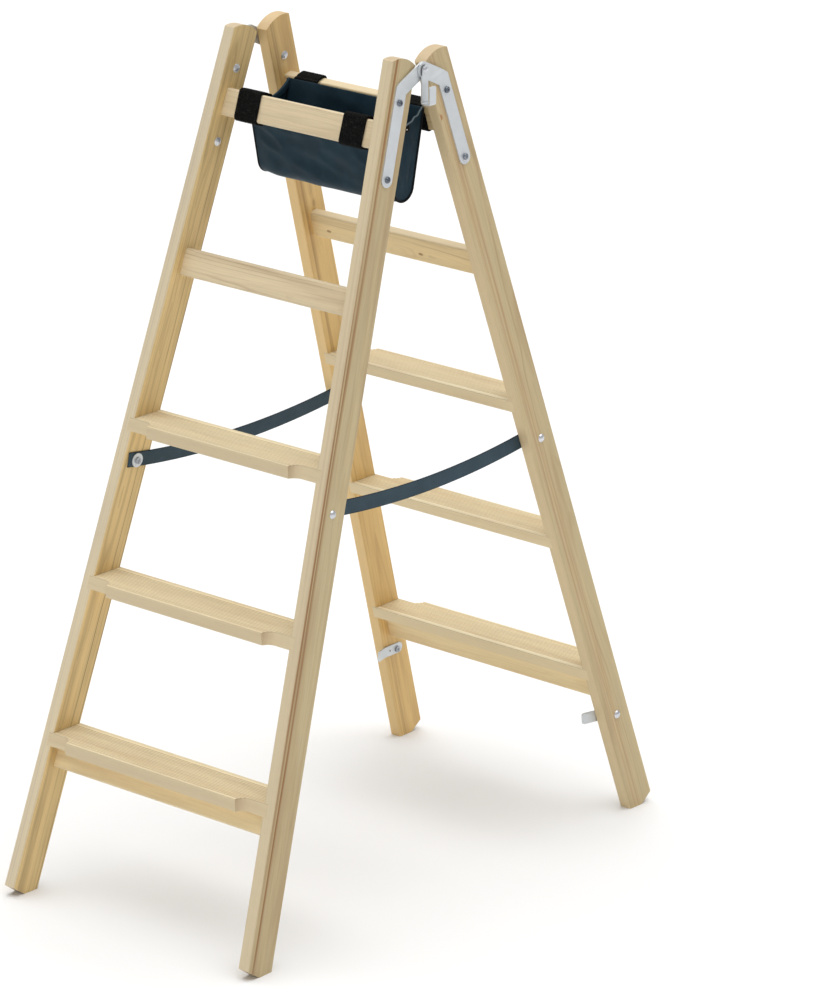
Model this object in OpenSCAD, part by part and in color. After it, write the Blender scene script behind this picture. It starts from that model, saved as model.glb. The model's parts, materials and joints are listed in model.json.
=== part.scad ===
// Double-sided wooden step ladder with spreader straps, a cloth tool bag and a bucket hook.
// Millimetres. +Z is up, +X runs along the treads, and the origin is on the floor below the hinge.
// A section is drawn round the hinge pin: -Z runs down the stile, -Y away from the other section.

/* [Ladder] */
// lean of each section from the vertical, in degrees
lean = 18; // [15:0.5:21]
// spacing of rungs and treads along a stile
step_pitch = 280; // [250:5:300]
// height of the lowest tread's top above the floor
first_step_h = 284; // [265:1:320]
// drop from the hinge pin to the middle of the top rung
top_rung_drop = 122.5; // [115:0.5:135]
// width over the stiles at the hinge
top_width = 376; // [360:2:420]
// width over the stiles at the floor
foot_width = 568; // [500:2:640]

/* [Stiles] */
// stile from its facing edge to its outer edge
stile_d = 62; // [58:1:70]
// stile thickness
stile_t = 23; // [20:0.5:28]
// rounding of the stile's long edges
stile_r = 2.5; // [1:0.5:4]
// distance from the hinge pin to the plane of the facing edges
hinge_offset = 12.2; // [11.2:0.2:16]
// height of the stile's top corners above the hinge pin
top_rise = 2; // [0:0.5:8]
// height of the rounded top above its corners
top_crown = 9; // [5:0.5:18]
// share of the foot that stands flat
sole_share = 0.5; // [0.35:0.05:0.8]
// height of the bevel on the foot's outer corner
foot_bevel = 20; // [10:1:28]

/* [Treads] */
// tread thickness
tread_t = 22; // [18:0.5:26]
// reach of the tread's nose past the stiles
nose = 20; // [14:0.5:26]
// distance from the stile to the end of the nose
nose_setback = 48; // [36:1:60]
// radius of the cove at each end of the nose
cove_r = 20; // [16:0.5:24]
// rounding of the nose's top edge
nose_r = 3; // [1.5:0.5:5]
// depth of the housing in the stile
housing_d = 9; // [6:0.5:11]
// spacing of the grooves on the tread
groove_pitch = 5; // [4:0.25:7]
// width of a groove at the surface
groove_w = 3.2; // [2:0.1:3.6]
// depth of a groove
groove_depth = 1.2; // [0.6:0.1:2]
// share of a groove's width that is flat at its floor
groove_floor_share = 0.35; // [0.2:0.05:0.6]
// plain strip before the first and after the last groove
plain_strip = 6; // [4:0.5:10]

/* [Rungs and aprons] */
// rung thickness
bar_t = 19; // [16:0.5:22]
// rung height
bar_h = 48; // [40:1:52]
// rounding of the rung's edges
bar_r = 4; // [2:0.5:6]
// tenon thickness
tenon_t = 11; // [8:0.5:13]
// tenon height
tenon_h = 32; // [24:1:36]
// tenon length in the stile
tenon_d = 14; // [10:0.5:17]
// height of the apron below the lowest tread
apron_h = 46; // [36:1:60]

/* [Hinge] */
// width of the hinge arms
arm_w = 26.5; // [22:0.5:30]
// thickness of the hinge arms
arm_t = 2.5; // [2:0.25:3.5]
// drop from the pin to the arm's crank
arm_crank = 41; // [38:0.5:48]
// drop from the pin to the upper screw
upper_screw_drop = 62.5; // [60:0.5:70]
// drop from the pin to the lower screw
lower_screw_drop = 190.5; // [160:0.5:220]
// drop where the rear arm's step begins
step_start = 20; // [19:0.5:22]
// drop where the rear arm's step ends
step_end = 29; // [27:0.5:33]
// hinge pin diameter
pin_d = 8; // [6:0.5:9]
// diameter of the hinge pin's heads
pin_head_d = 12; // [11:0.5:14]
// height of the hinge pin's heads
pin_head_h = 2.6; // [2:0.2:4]

/* [Bucket hook] */
// width of the hook's strip
hook_w = 16; // [13:0.5:18]
// thickness of the hook's strip
hook_t = 2.5; // [2:0.25:3.5]
// drop from the pin to the hook's underside
hook_drop = 59; // [52:0.5:66]
// clear width inside the hook
hook_gap = 14.5; // [10:0.5:20]
// drop from the pin to the top of the hook's lip
hook_lip_drop = 26; // [22:0.5:32]
// radius inside the hook's bends
hook_bend_r = 2; // [1:0.25:4]
// rounding of the lip's corners
hook_lip_r = 3; // [1:0.5:6]

/* [Screws and bolts] */
// shank diameter of screws and bolts
shank_d = 6; // [5:0.25:7]
// diameter of the hinge screws' heads
screw_head_d = 11.5; // [10:0.5:13]
// height of the hinge screws' heads
screw_head_h = 2.4; // [1.6:0.2:3]
// diameter of the domed nuts
nut_d = 15.5; // [13:0.5:18]
// height of the domed nuts
nut_h = 4.2; // [3.6:0.2:6]
// straight rim of the domed nuts
nut_rim = 1; // [0.6:0.1:1.6]
// diameter of the domed bolt heads
bolt_head_d = 15; // [12:0.5:18]
// height of the domed bolt heads
bolt_head_h = 4; // [3:0.2:6]
// diameter of the sleeve nuts inside
sleeve_d = 12; // [10:0.5:14]
// height of the sleeve nuts inside
sleeve_h = 3; // [2.4:0.2:4]
// length of cross recesses as a share of their head
recess_share = 0.55; // [0.4:0.05:0.7]
// width of the cross recesses
recess_w = 1.3; // [0.8:0.1:1.8]
// depth of the cross recesses
recess_depth = 1.2; // [0.6:0.1:1.4]

/* [Spreader straps] */
// drop from the middle of the third tread to the strap bolts
strap_below_tread = 68; // [50:0.5:110]
// width of the webbing
strap_w = 26.5; // [22:0.5:30]
// thickness of the webbing
strap_t = 2; // [1.5:0.25:2.5]
// sag of the strap's middle below its bolts
strap_sag = 19; // [8:1:40]
// length of strap past each bolt
strap_tail = 20; // [14:0.5:26]
// washer diameter
washer_d = 25; // [20:0.5:26]
// washer thickness
washer_t = 1.5; // [1:0.1:2]

/* [Guide plates] */
// gap between the apron and the guide plate below it
guide_gap = 18.5; // [12:0.5:30]
// height of the plate's strip
guide_w = 20; // [16:0.5:24]
// thickness of the plate
guide_t = 3; // [2:0.25:4]
// length behind the bolt
guide_tail = 15; // [12:0.5:18]
// reach past the stile's facing edge
guide_reach = 27; // [22:0.5:32]
// bend of the tip towards the middle
guide_flare = 7.5; // [6:0.5:10]
// rounding of the tip's corners
guide_tip_r = 4; // [2:0.5:7]
// diameter of the locating hole
guide_hole_d = 4; // [3:0.5:5]
// distance from the bolt to the locating hole
guide_hole_pitch = 20; // [18:0.5:22]

/* [Tool bag] */
// room between the bag and the stile at each end of the top rung
bag_end_gap = 22.5; // [18:0.5:50]
// bag height
bag_h = 153; // [120:1:180]
// bag depth at the rim
bag_rim_d = 102; // [96:1:104]
// radius of the bag's rounded bottom
bag_bottom_r = 25; // [20:1:35]
// drop from the hinge pin to the bag's rim
bag_drop = 82; // [80:0.5:88]
// thickness of the bag's cloth
bag_wall = 2; // [1.5:0.25:3]
// sag of the rim at both ends of the bag
bag_end_sag = 19; // [8:1:24]
// distance from the bag's end to the middle of a loop
loop_inset = 33; // [22:0.5:50]
// width of the loops
loop_w = 50; // [36:1:54]
// thickness of the loops
loop_t = 2; // [1.5:0.25:2.5]

/* [Clearances] */
// gap round a piece that is set in another
fit = 0.1; // [0.05:0.05:0.15]
// gap between a pin and an eye that turns on it
running_fit = 0.08; // [0.04:0.02:0.1]
// gap between pieces that move past each other
running_gap = 0.3; // [0.3:0.05:0.4]
// gap between cloth and what it lies on
cloth_gap = 0.4; // [0.3:0.05:0.6]
// length by which a cutter passes the surface that it cuts
overrun = 2; // [1:0.5:3]

/* [Hidden] */
$fn = 64;

// rows of treads and rungs, counted from the floor
row_count = 5;
tread_count = 3;

// offsets from the hinge pin's plane to the stile's middle, outer edge and the edge of its sole
mid_n = hinge_offset + stile_d / 2;
outer_n = hinge_offset + stile_d;
sole_n = hinge_offset + stile_d * sole_share;

// height of the hinge pin, length of a stile below it, and the stiles' taper
pivot_h = first_step_h - tread_t / 2 + step_drop(1) * cos(lean) - mid_n * sin(lean);
stile_len = floor_drop(outer_n);
slope = (foot_width - top_width) / 2 / floor_drop(mid_n);
taper = atan(slope);
wall_tilt = atan(slope * cos(lean));
span = foot_width + 2 * stile_d;

// radius of the stile's rounded top
crown_r = arc_radius(stile_d / 2, top_crown);

// drop from the pin to the apron's underside and to its tenon
apron_end_drop = step_drop(1) + tread_t / 2 / cos(lean) + apron_h;
apron_tenon_drop = apron_end_drop - apron_h / 2;

// inner face of the hinge arms' eyes, and the layers that follow on the pin
eye_x = outer_x(arm_crank);
layer = arm_t + running_gap;

// strap bolts and guide plates in a section
strap_drop = step_drop(tread_count) + strap_below_tread;
strap_y = strap_drop * sin(lean) + mid_n * cos(lean);
strap_z = mid_n * sin(lean) - strap_drop * cos(lean);
strap_edge_y = -edge_y(hinge_offset, strap_z);
strap_end_y = strap_y + strap_tail;
strap_points = 32;
strap_seat = stile_t + cloth_gap + strap_t + cloth_gap;
guide_z = (mid_n - bar_t / 2) * sin(lean) - apron_end_drop * cos(lean) - guide_gap - guide_w / 2;
guide_drop = (mid_n * sin(lean) - guide_z) / cos(lean);
guide_bolt_y = -(guide_drop * sin(lean) + mid_n * cos(lean));
guide_edge_y = edge_y(hinge_offset, guide_z);
guide_tip_y = guide_edge_y + guide_reach;
guide_seat = stile_t + fit + guide_t;

// length of the bag and place of its loops along the rungs
bag_w = 2 * (inner_x(step_drop(row_count)) - bag_end_gap);
loop_x = bag_w / 2 - loop_inset;

// middle of the bag's rounded bottom, slope of its sides and radius of the sag in its ends
bag_round_z = bag_bottom_r - bag_drop - bag_h;
bag_flare = atan2(-bag_drop - bag_round_z, bag_rim_d / 2)
    - acos(bag_bottom_r / norm([bag_rim_d / 2, -bag_drop - bag_round_z]));
bag_sag_r = arc_radius(bag_rim_d / 2 - bag_wall / 2, bag_end_sag);

// corner of a bag loop that reaches the bag's rim, in the section's frame
loop_tip = [
    -bag_rim_d / 2 * cos(lean) + bag_drop * sin(lean) - cloth_gap,
    -bag_rim_d / 2 * sin(lean) - bag_drop * cos(lean),
];

function arc_radius(half, rise) = (half * half + rise * rise) / (2 * rise);
function step_drop(row) = top_rung_drop + (row_count - row) * step_pitch;
function floor_drop(n) = (pivot_h + n * sin(lean)) / cos(lean);
function outer_x(drop) = top_width / 2 + slope * drop;
function inner_x(drop) = outer_x(drop) - stile_t / cos(taper);
// y of the plane at offset n, at height z from the pin
function edge_y(n, z) = z * tan(lean) - n / cos(lean);
// x of the stile's inner face at a level point
function wall_x(y, z) = inner_x(-y * sin(lean) - z * cos(lean));
function tread_z(row) = mid_n * sin(lean) - step_drop(row) * cos(lean) + tread_t / 2;
function nose_y(row) = edge_y(outer_n, tread_z(row)) - nose;
// half of the bag's depth at a height from the pin, inside a wall
function bag_half(z, wall) = (bag_bottom_r - wall - (z - bag_round_z) * sin(bag_flare)) / cos(bag_flare);
// sagging middle line of a strap, straight past its bolts
function strap_line(y) = strap_z
    - strap_sag * (1 - min(1, pow(y / strap_y, 2)))
    + 2 * strap_sag / strap_y * max(0, abs(y) - strap_y);
function strap_grade(y) = 2 * strap_sag / strap_y * max(-1, min(1, y / strap_y));
function strap_point(k, off) =
    let (y = strap_end_y * (2 * k / strap_points - 1), turn = atan(strap_grade(y)))
    [y - off * sin(turn), strap_line(y) + off * cos(turn)];

// frames
module at_pin() {
    translate([0, 0, pivot_h]) children();
}

module section(rear) {
    at_pin() {
        if (rear) mirror([0, 1, 0]) rotate([-lean, 0, 0]) children();
        else rotate([-lean, 0, 0]) children();
    }
}

module side(right) {
    if (right) children();
    else mirror([1, 0, 0]) children();
}

module both_sides() {
    children();
    mirror([1, 0, 0]) children();
}

module level() {
    rotate([lean, 0, 0]) children();
}

// +Z points out of the stile's outer face at a drop below the pin
module on_stile(drop) {
    translate([outer_x(drop), -mid_n, -drop]) rotate([0, -taper, 0]) rotate([0, 90, 0]) children();
}

// a shape drawn in Y and Z, drawn out along X
module along_x(w) {
    translate([-w / 2, 0, 0]) rotate([90, 0, 90]) linear_extrude(w) children();
}

// a shape drawn in X and Z, drawn out along Y
module along_y(d) {
    translate([0, d / 2, 0]) rotate([90, 0, 0]) linear_extrude(d) children();
}

// a shape drawn in X and Y round a point on a stile's inner face, drawn out along that face
module up_wall(x, z, h) {
    translate([x, 0, z]) rotate([0, -wall_tilt, 0]) translate([0, 0, -h / 2]) linear_extrude(h) children();
}

// shapes
module rounded_rect(size, r) {
    translate([r, 0]) square([size[0] - 2 * r, size[1]]);
    translate([0, r]) square([size[0], size[1] - 2 * r]);
    for (x = [r, size[0] - r], y = [r, size[1] - r]) translate([x, y]) circle(r = r);
}

module centred_rect(size, r) {
    translate(-size / 2) rounded_rect(size, r);
}

// a rectangle with its two lower corners rounded
module tray_shape(w, h, r) {
    translate([-w / 2, r]) square([w, h - r]);
    translate([r - w / 2, 0]) square([w - 2 * r, h]);
    for (x = [r - w / 2, w / 2 - r]) translate([x, r]) circle(r = r);
}

module round_bar(a, b, w) {
    translate(a) circle(d = w);
    translate(b) circle(d = w);
    translate(a) rotate(atan2(b[1] - a[1], b[0] - a[0])) translate([0, -w / 2]) square([norm(b - a), w]);
}

module dome(d, h) {
    r = arc_radius(d / 2, h);
    intersection() {
        translate([0, 0, h - r]) sphere(r = r);
        cylinder(d = d, h = h);
    }
}

module cross_recess(d, depth) {
    for (turn = [0, 90]) rotate(turn) translate([-d * recess_share / 2, -recess_w / 2, -depth])
        cube([d * recess_share, recess_w, depth + overrun]);
}

module shank_bore(drop, depth) {
    on_stile(drop) translate([0, 0, -depth - overrun])
        cylinder(d = shank_d + 2 * fit, h = depth + arm_t + 2 * overrun);
}

// the room between two stiles, let into them by a depth
module between_stiles(depth) {
    top = inner_x(0) + depth;
    foot = inner_x(stile_len) + depth;
    along_y(4 * stile_d + 2 * outer_n)
        polygon([[-top, 0], [top, 0], [foot, -stile_len], [-foot, -stile_len]]);
}

// treads
module plank_shape(row, gap) {
    top = tread_z(row) + gap;
    under = tread_z(row) - tread_t - gap;
    rear_n = hinge_offset - (gap > 0 ? overrun : 0);
    polygon([
        [edge_y(rear_n, top), top], [edge_y(rear_n, under), under], [nose_y(row), under], [nose_y(row), top],
    ]);
}

// what a rounded edge takes off a square one, with the corner at the origin
module edge_waste(r) {
    difference() {
        translate([-overrun, -r]) square([r + overrun, r + overrun]);
        translate([r, -r]) circle(r = r);
    }
}

module groove_shape() {
    floor_w = groove_w * groove_floor_share;
    polygon([
        [-groove_w / 2, 0], [-floor_w / 2, -groove_depth], [floor_w / 2, -groove_depth], [groove_w / 2, 0],
        [groove_w / 2, overrun], [-groove_w / 2, overrun],
    ]);
}

module tread_shape(row) {
    first = nose_y(row) + plain_strip + groove_w / 2;
    last = edge_y(hinge_offset, tread_z(row)) - plain_strip - groove_w / 2;
    difference() {
        plank_shape(row, 0);
        translate([nose_y(row), tread_z(row)]) edge_waste(nose_r);
        for (y = [first : groove_pitch : last]) translate([y, tread_z(row)]) groove_shape();
    }
}

module nose_cut(row) {
    drop = step_drop(row);
    x = inner_x(drop) - nose_setback + cove_r;
    translate([x, -outer_n - cove_r, -drop - stile_d]) cylinder(r = cove_r, h = 2 * stile_d);
    translate([x, -outer_n - stile_d, -drop - stile_d]) cube([nose_setback + stile_t, stile_d, 2 * stile_d]);
}

module tread(rear, row) {
    color("burlywood") section(rear) difference() {
        intersection() {
            level() along_x(span) tread_shape(row);
            between_stiles(housing_d);
        }
        both_sides() nose_cut(row);
    }
}

module housing(row) {
    intersection() {
        level() along_x(span) plank_shape(row, fit);
        between_stiles(housing_d + fit);
    }
}

// rungs and aprons
module bar(size, r, drop, depth) {
    intersection() {
        along_x(span) translate([-mid_n, -drop]) centred_rect(size, r);
        between_stiles(depth);
    }
}

module tenon(drop, gap) {
    bar([tenon_t + 2 * gap, tenon_h + 2 * gap], bar_r / 2, drop, tenon_d + gap);
}

module rung(rear, row) {
    color("tan") section(rear) {
        bar([bar_t, bar_h], bar_r, step_drop(row), 0);
        tenon(step_drop(row), 0);
    }
}

module apron(rear) {
    height = apron_h + tread_t / 2;
    color("tan") section(rear) {
        difference() {
            bar([bar_t, height], bar_r, apron_end_drop - height / 2, 0);
            level() along_x(span) plank_shape(1, 0);
        }
        tenon(apron_tenon_drop, 0);
    }
}

// stiles
module stile_shape() {
    top = top_rise + top_crown;
    intersection() {
        polygon([
            [-hinge_offset, top], [-outer_n, top], [-outer_n, foot_bevel - floor_drop(outer_n)],
            [-sole_n, -floor_drop(sole_n)], [-hinge_offset, -floor_drop(hinge_offset)],
        ]);
        union() {
            translate([-mid_n, top - crown_r]) circle(r = crown_r);
            translate([-outer_n, -stile_len]) square([stile_d, stile_len + top_rise]);
        }
    }
}

module stile(rear, right) {
    length = stile_len + foot_bevel + top_rise + top_crown;
    color("burlywood") section(rear) side(right) difference() {
        intersection() {
            along_x(span) stile_shape();
            translate([outer_x(0), 0, 0]) rotate([0, -taper, 0])
                translate([-stile_t, -outer_n, -stile_len - foot_bevel])
                    linear_extrude(length + overrun) rounded_rect([stile_t, stile_d], stile_r);
        }
        for (row = [1 : tread_count]) housing(row);
        for (row = [tread_count + 1 : row_count]) tenon(step_drop(row), fit);
        tenon(apron_tenon_drop, fit);
        for (drop = [upper_screw_drop, lower_screw_drop, strap_drop]) shank_bore(drop, stile_t);
        if (rear) shank_bore(guide_drop, stile_t);
    }
}

// hinge
module arm_shape() {
    round_bar([0, 0], [-mid_n, -arm_crank], arm_w);
    round_bar([-mid_n, -arm_crank], [-mid_n, -lower_screw_drop], arm_w);
}

module hinge_arm(rear, right) {
    lift = rear ? layer : 0;
    tip = lower_screw_drop + arm_w;
    skin = arm_t / cos(taper);
    color("silver") section(rear) side(right) difference() {
        intersection() {
            along_x(span) arm_shape();
            along_y(4 * stile_d) polygon([
                [eye_x + lift, arm_w], [eye_x + lift, -step_start], [eye_x, -step_end], [eye_x, -arm_crank],
                [outer_x(tip), -tip], [outer_x(tip) + skin, -tip], [eye_x + arm_t, -arm_crank],
                [eye_x + arm_t, -step_end], [eye_x + lift + arm_t, -step_start], [eye_x + lift + arm_t, arm_w],
            ]);
        }
        translate([eye_x - overrun, 0, 0]) rotate([0, 90, 0])
            cylinder(d = pin_d + 2 * running_fit, h = 2 * layer + 2 * overrun);
        for (drop = [upper_screw_drop, lower_screw_drop]) shank_bore(drop, overrun);
    }
}

module hinge_pin(right) {
    grip = 2 * layer + (right ? hook_t + running_gap : 0);
    color("gainsboro") at_pin() side(right) translate([eye_x, 0, 0]) rotate([0, 90, 0]) {
        translate([0, 0, -pin_head_h]) cylinder(d = pin_head_d, h = pin_head_h);
        cylinder(d = pin_d, h = grip);
        translate([0, 0, grip]) dome(pin_head_d, pin_head_h);
    }
}

module hook_shape() {
    width = hook_gap + 2 * hook_t;
    translate([width / 2, -hook_drop]) difference() {
        tray_shape(width, hook_drop - hook_lip_drop - hook_lip_r, hook_bend_r + hook_t);
        translate([0, hook_t]) tray_shape(hook_gap, hook_drop, hook_bend_r);
    }
    translate([0, -hook_drop + hook_bend_r + hook_t]) square([hook_t, hook_drop - hook_bend_r - hook_t]);
}

module bucket_hook() {
    color("silver") at_pin() translate([eye_x + 2 * layer, 0, 0]) difference() {
        union() {
            along_y(hook_w) hook_shape();
            rotate([0, 90, 0]) cylinder(d = hook_w, h = hook_t);
            translate([hook_gap + hook_t * 3 / 2, 0, 0]) along_x(hook_t)
                translate([-hook_w / 2, -hook_lip_drop - hook_w]) rounded_rect([hook_w, hook_w], hook_lip_r);
        }
        translate([-overrun, 0, 0]) rotate([0, 90, 0])
            cylinder(d = pin_d + 2 * running_fit, h = hook_t + 2 * overrun);
    }
}

// screws, bolts and nuts
module hinge_screws(rear) {
    color("dimgray") section(rear) both_sides() for (drop = [upper_screw_drop, lower_screw_drop]) {
        on_stile(drop) {
            translate([0, 0, arm_t]) difference() {
                dome(screw_head_d, screw_head_h);
                translate([0, 0, screw_head_h]) cross_recess(screw_head_d, recess_depth);
            }
            translate([0, 0, -stile_t - nut_h / 2]) cylinder(d = shank_d, h = stile_t + nut_h / 2 + arm_t);
        }
    }
}

module domed_nuts(rear) {
    color("gainsboro") section(rear) both_sides() for (drop = [upper_screw_drop, lower_screw_drop]) {
        on_stile(drop) translate([0, 0, -stile_t]) rotate([180, 0, 0]) difference() {
            union() {
                cylinder(d = nut_d, h = nut_rim);
                translate([0, 0, nut_rim]) dome(nut_d, nut_h - nut_rim);
            }
            translate([0, 0, -overrun]) cylinder(d = shank_d + 2 * fit, h = nut_h / 2 + overrun + fit);
        }
    }
}

module wall_bolt(drop, seat) {
    on_stile(drop) {
        dome(bolt_head_d, bolt_head_h);
        translate([0, 0, -seat - sleeve_h / 2]) cylinder(d = shank_d, h = seat + sleeve_h / 2);
    }
}

module sleeve_nut(drop, seat) {
    on_stile(drop) translate([0, 0, -seat]) rotate([180, 0, 0]) difference() {
        cylinder(d = sleeve_d, h = sleeve_h);
        translate([0, 0, -overrun]) cylinder(d = shank_d + 2 * fit, h = sleeve_h / 2 + overrun + fit);
        translate([0, 0, sleeve_h]) cross_recess(sleeve_d, sleeve_h / 3);
    }
}

module strap_bolts(rear) {
    color("gainsboro") section(rear) both_sides() wall_bolt(strap_drop, strap_seat + washer_t);
}

module strap_washers(rear) {
    color("gainsboro") section(rear) both_sides() on_stile(strap_drop)
        translate([0, 0, -strap_seat - washer_t]) difference() {
            cylinder(d = washer_d, h = washer_t);
            translate([0, 0, -overrun]) cylinder(d = shank_d + 2 * fit, h = washer_t + 2 * overrun);
        }
}

module strap_nuts(rear) {
    color("dimgray") section(rear) both_sides() sleeve_nut(strap_drop, strap_seat + washer_t);
}

// spreader straps
module spreader_strap(right) {
    x = wall_x(-strap_y, strap_z) - cloth_gap;
    bend = wall_x(-strap_edge_y, strap_z) - wall_x(-strap_y, strap_z);
    end = wall_x(-strap_end_y, strap_z) - wall_x(-strap_y, strap_z);
    color("slategray") at_pin() side(right) difference() {
        intersection() {
            up_wall(x, strap_z, 4 * (strap_sag + strap_w)) polygon([
                [end, -strap_end_y - strap_w], [bend, -strap_edge_y], [bend, strap_edge_y],
                [end, strap_end_y + strap_w], [end - strap_t, strap_end_y + strap_w],
                [bend - strap_t, strap_edge_y], [bend - strap_t, -strap_edge_y],
                [end - strap_t, -strap_end_y - strap_w],
            ]);
            along_x(span) polygon(concat(
                [for (k = [0 : strap_points]) strap_point(k, -strap_w / 2)],
                [for (k = [strap_points : -1 : 0]) strap_point(k, strap_w / 2)]
            ));
        }
        rotate([-lean, 0, 0]) shank_bore(strap_drop, strap_seat);
        mirror([0, 1, 0]) rotate([-lean, 0, 0]) shank_bore(strap_drop, strap_seat);
    }
}

// guide plates
module guide_shape() {
    tail_y = guide_bolt_y - guide_tail + guide_w / 2;
    round_bar([tail_y, guide_z], [guide_edge_y, guide_z], guide_w);
    translate([guide_edge_y, guide_z - guide_w / 2]) square([guide_reach - guide_tip_r, guide_w]);
    translate([guide_tip_y - guide_w, guide_z - guide_w / 2]) rounded_rect([guide_w, guide_w], guide_tip_r);
}

module guide_plate(right) {
    x = wall_x(guide_bolt_y, guide_z);
    tail_y = guide_bolt_y - guide_tail - overrun;
    tail = wall_x(tail_y, guide_z) - x;
    bend = wall_x(guide_edge_y, guide_z) - x;
    tip = bend - guide_flare;
    color("silver") section(true) side(right) difference() {
        level() intersection() {
            up_wall(x - fit, guide_z, 2 * guide_w) polygon([
                [tail, tail_y], [bend, guide_edge_y], [tip, guide_tip_y + overrun],
                [tip - guide_t, guide_tip_y + overrun], [bend - guide_t, guide_edge_y], [tail - guide_t, tail_y],
            ]);
            along_x(span) guide_shape();
        }
        shank_bore(guide_drop, guide_seat);
        level() translate([x - guide_w, guide_bolt_y + guide_hole_pitch, guide_z]) rotate([0, 90, 0])
            cylinder(d = guide_hole_d, h = 2 * guide_w);
    }
}

module guide_plate_bolts() {
    color("gainsboro") section(true) both_sides() wall_bolt(guide_drop, guide_seat);
}

module guide_plate_nuts() {
    color("dimgray") section(true) both_sides() sleeve_nut(guide_drop, guide_seat);
}

// tool bag
module bag_body(wall, top, w) {
    r = bag_bottom_r - wall;
    rim = bag_half(top, wall);
    joint = bag_round_z + r * sin(bag_flare);
    along_x(w) intersection() {
        polygon([[-rim, top], [rim, top], [0, bag_round_z + r / sin(bag_flare)]]);
        union() {
            translate([0, bag_round_z]) circle(r = r);
            translate([-bag_rim_d, joint]) square([2 * bag_rim_d, top - joint + overrun]);
        }
    }
}

module tool_bag() {
    color("darkslategray") at_pin() difference() {
        bag_body(0, -bag_drop, bag_w);
        bag_body(bag_wall, overrun - bag_drop, bag_w - 2 * bag_wall);
        both_sides() translate([bag_w / 2 - bag_wall - overrun, 0, bag_sag_r - bag_drop - bag_end_sag])
            rotate([0, 90, 0]) cylinder(r = bag_sag_r, h = bag_wall + 2 * overrun);
    }
}

// ring round the top rung with one corner drawn to the bag's rim
module loop_shape(grow) {
    y = bar_t / 2 + grow;
    z = bar_h / 2 + grow;
    drop = step_drop(row_count);
    tip_y = loop_tip[0] + grow - loop_t - cloth_gap;
    polygon([
        [-mid_n - y, -drop - z], [-mid_n + y, -drop - z], [tip_y, loop_tip[1]],
        [-mid_n + y, -drop + z], [-mid_n - y, -drop + z],
    ]);
}

module bag_loop(rear, right) {
    color("black") section(rear) side(right) translate([loop_x, 0, 0]) along_x(loop_w) difference() {
        loop_shape(cloth_gap + loop_t);
        loop_shape(cloth_gap);
    }
}

stile(false, false);  // front_left_stile
stile(false, true);  // front_right_stile
stile(true, false);  // rear_left_stile
stile(true, true);  // rear_right_stile
tread(false, 1);  // front_tread_1
tread(false, 2);  // front_tread_2
tread(false, 3);  // front_tread_3
tread(true, 1);  // rear_tread_1
tread(true, 2);  // rear_tread_2
tread(true, 3);  // rear_tread_3
apron(false);  // front_apron
apron(true);  // rear_apron
rung(false, 4);  // front_rung_4
rung(false, 5);  // front_rung_5
rung(true, 4);  // rear_rung_4
rung(true, 5);  // rear_rung_5
hinge_arm(false, false);  // front_left_hinge_arm
hinge_arm(false, true);  // front_right_hinge_arm
hinge_arm(true, false);  // rear_left_hinge_arm
hinge_arm(true, true);  // rear_right_hinge_arm
hinge_pin(false);  // left_hinge_pin
hinge_pin(true);  // right_hinge_pin
bucket_hook();
hinge_screws(false);  // front_hinge_screws
hinge_screws(true);  // rear_hinge_screws
domed_nuts(false);  // front_domed_nuts
domed_nuts(true);  // rear_domed_nuts
spreader_strap(false);  // left_spreader_strap
spreader_strap(true);  // right_spreader_strap
strap_bolts(false);  // front_strap_bolts
strap_bolts(true);  // rear_strap_bolts
strap_washers(false);  // front_strap_washers
strap_washers(true);  // rear_strap_washers
strap_nuts(false);  // front_strap_nuts
strap_nuts(true);  // rear_strap_nuts
guide_plate(false);  // left_guide_plate
guide_plate(true);  // right_guide_plate
guide_plate_bolts();
guide_plate_nuts();
tool_bag();
bag_loop(false, false);  // front_left_bag_loop
bag_loop(false, true);  // front_right_bag_loop
bag_loop(true, false);  // rear_left_bag_loop
bag_loop(true, true);  // rear_right_bag_loop
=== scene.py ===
"""Looks of a double-sided wooden step ladder: pine, zinc steel, webbing straps and a sewn tool bag."""

import json
import math
from functools import partialmethod

import bpy
import numpy as np
from mathutils import Matrix, Vector, noise


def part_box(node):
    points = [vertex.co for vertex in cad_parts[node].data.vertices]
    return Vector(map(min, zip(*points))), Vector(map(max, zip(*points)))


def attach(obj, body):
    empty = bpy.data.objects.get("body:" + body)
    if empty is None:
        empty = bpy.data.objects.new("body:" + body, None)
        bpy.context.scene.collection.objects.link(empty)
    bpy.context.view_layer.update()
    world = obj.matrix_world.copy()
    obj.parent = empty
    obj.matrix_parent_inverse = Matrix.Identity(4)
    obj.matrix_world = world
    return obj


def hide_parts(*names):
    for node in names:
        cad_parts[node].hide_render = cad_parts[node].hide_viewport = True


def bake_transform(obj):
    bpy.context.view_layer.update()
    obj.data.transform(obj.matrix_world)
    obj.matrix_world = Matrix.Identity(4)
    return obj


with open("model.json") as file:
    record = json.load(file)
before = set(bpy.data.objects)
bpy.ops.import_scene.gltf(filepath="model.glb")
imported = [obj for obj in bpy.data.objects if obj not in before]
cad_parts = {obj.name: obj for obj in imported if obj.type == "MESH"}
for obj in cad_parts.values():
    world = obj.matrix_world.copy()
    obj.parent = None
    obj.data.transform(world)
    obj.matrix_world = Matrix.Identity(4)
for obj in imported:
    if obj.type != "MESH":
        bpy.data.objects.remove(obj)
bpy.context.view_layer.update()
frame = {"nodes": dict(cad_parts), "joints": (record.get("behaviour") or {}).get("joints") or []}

SIDES = {"left": -1, "right": 1}
SECTIONS = (("front", False), ("rear", True))
QUARTER_TURN = math.pi / 2

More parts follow.
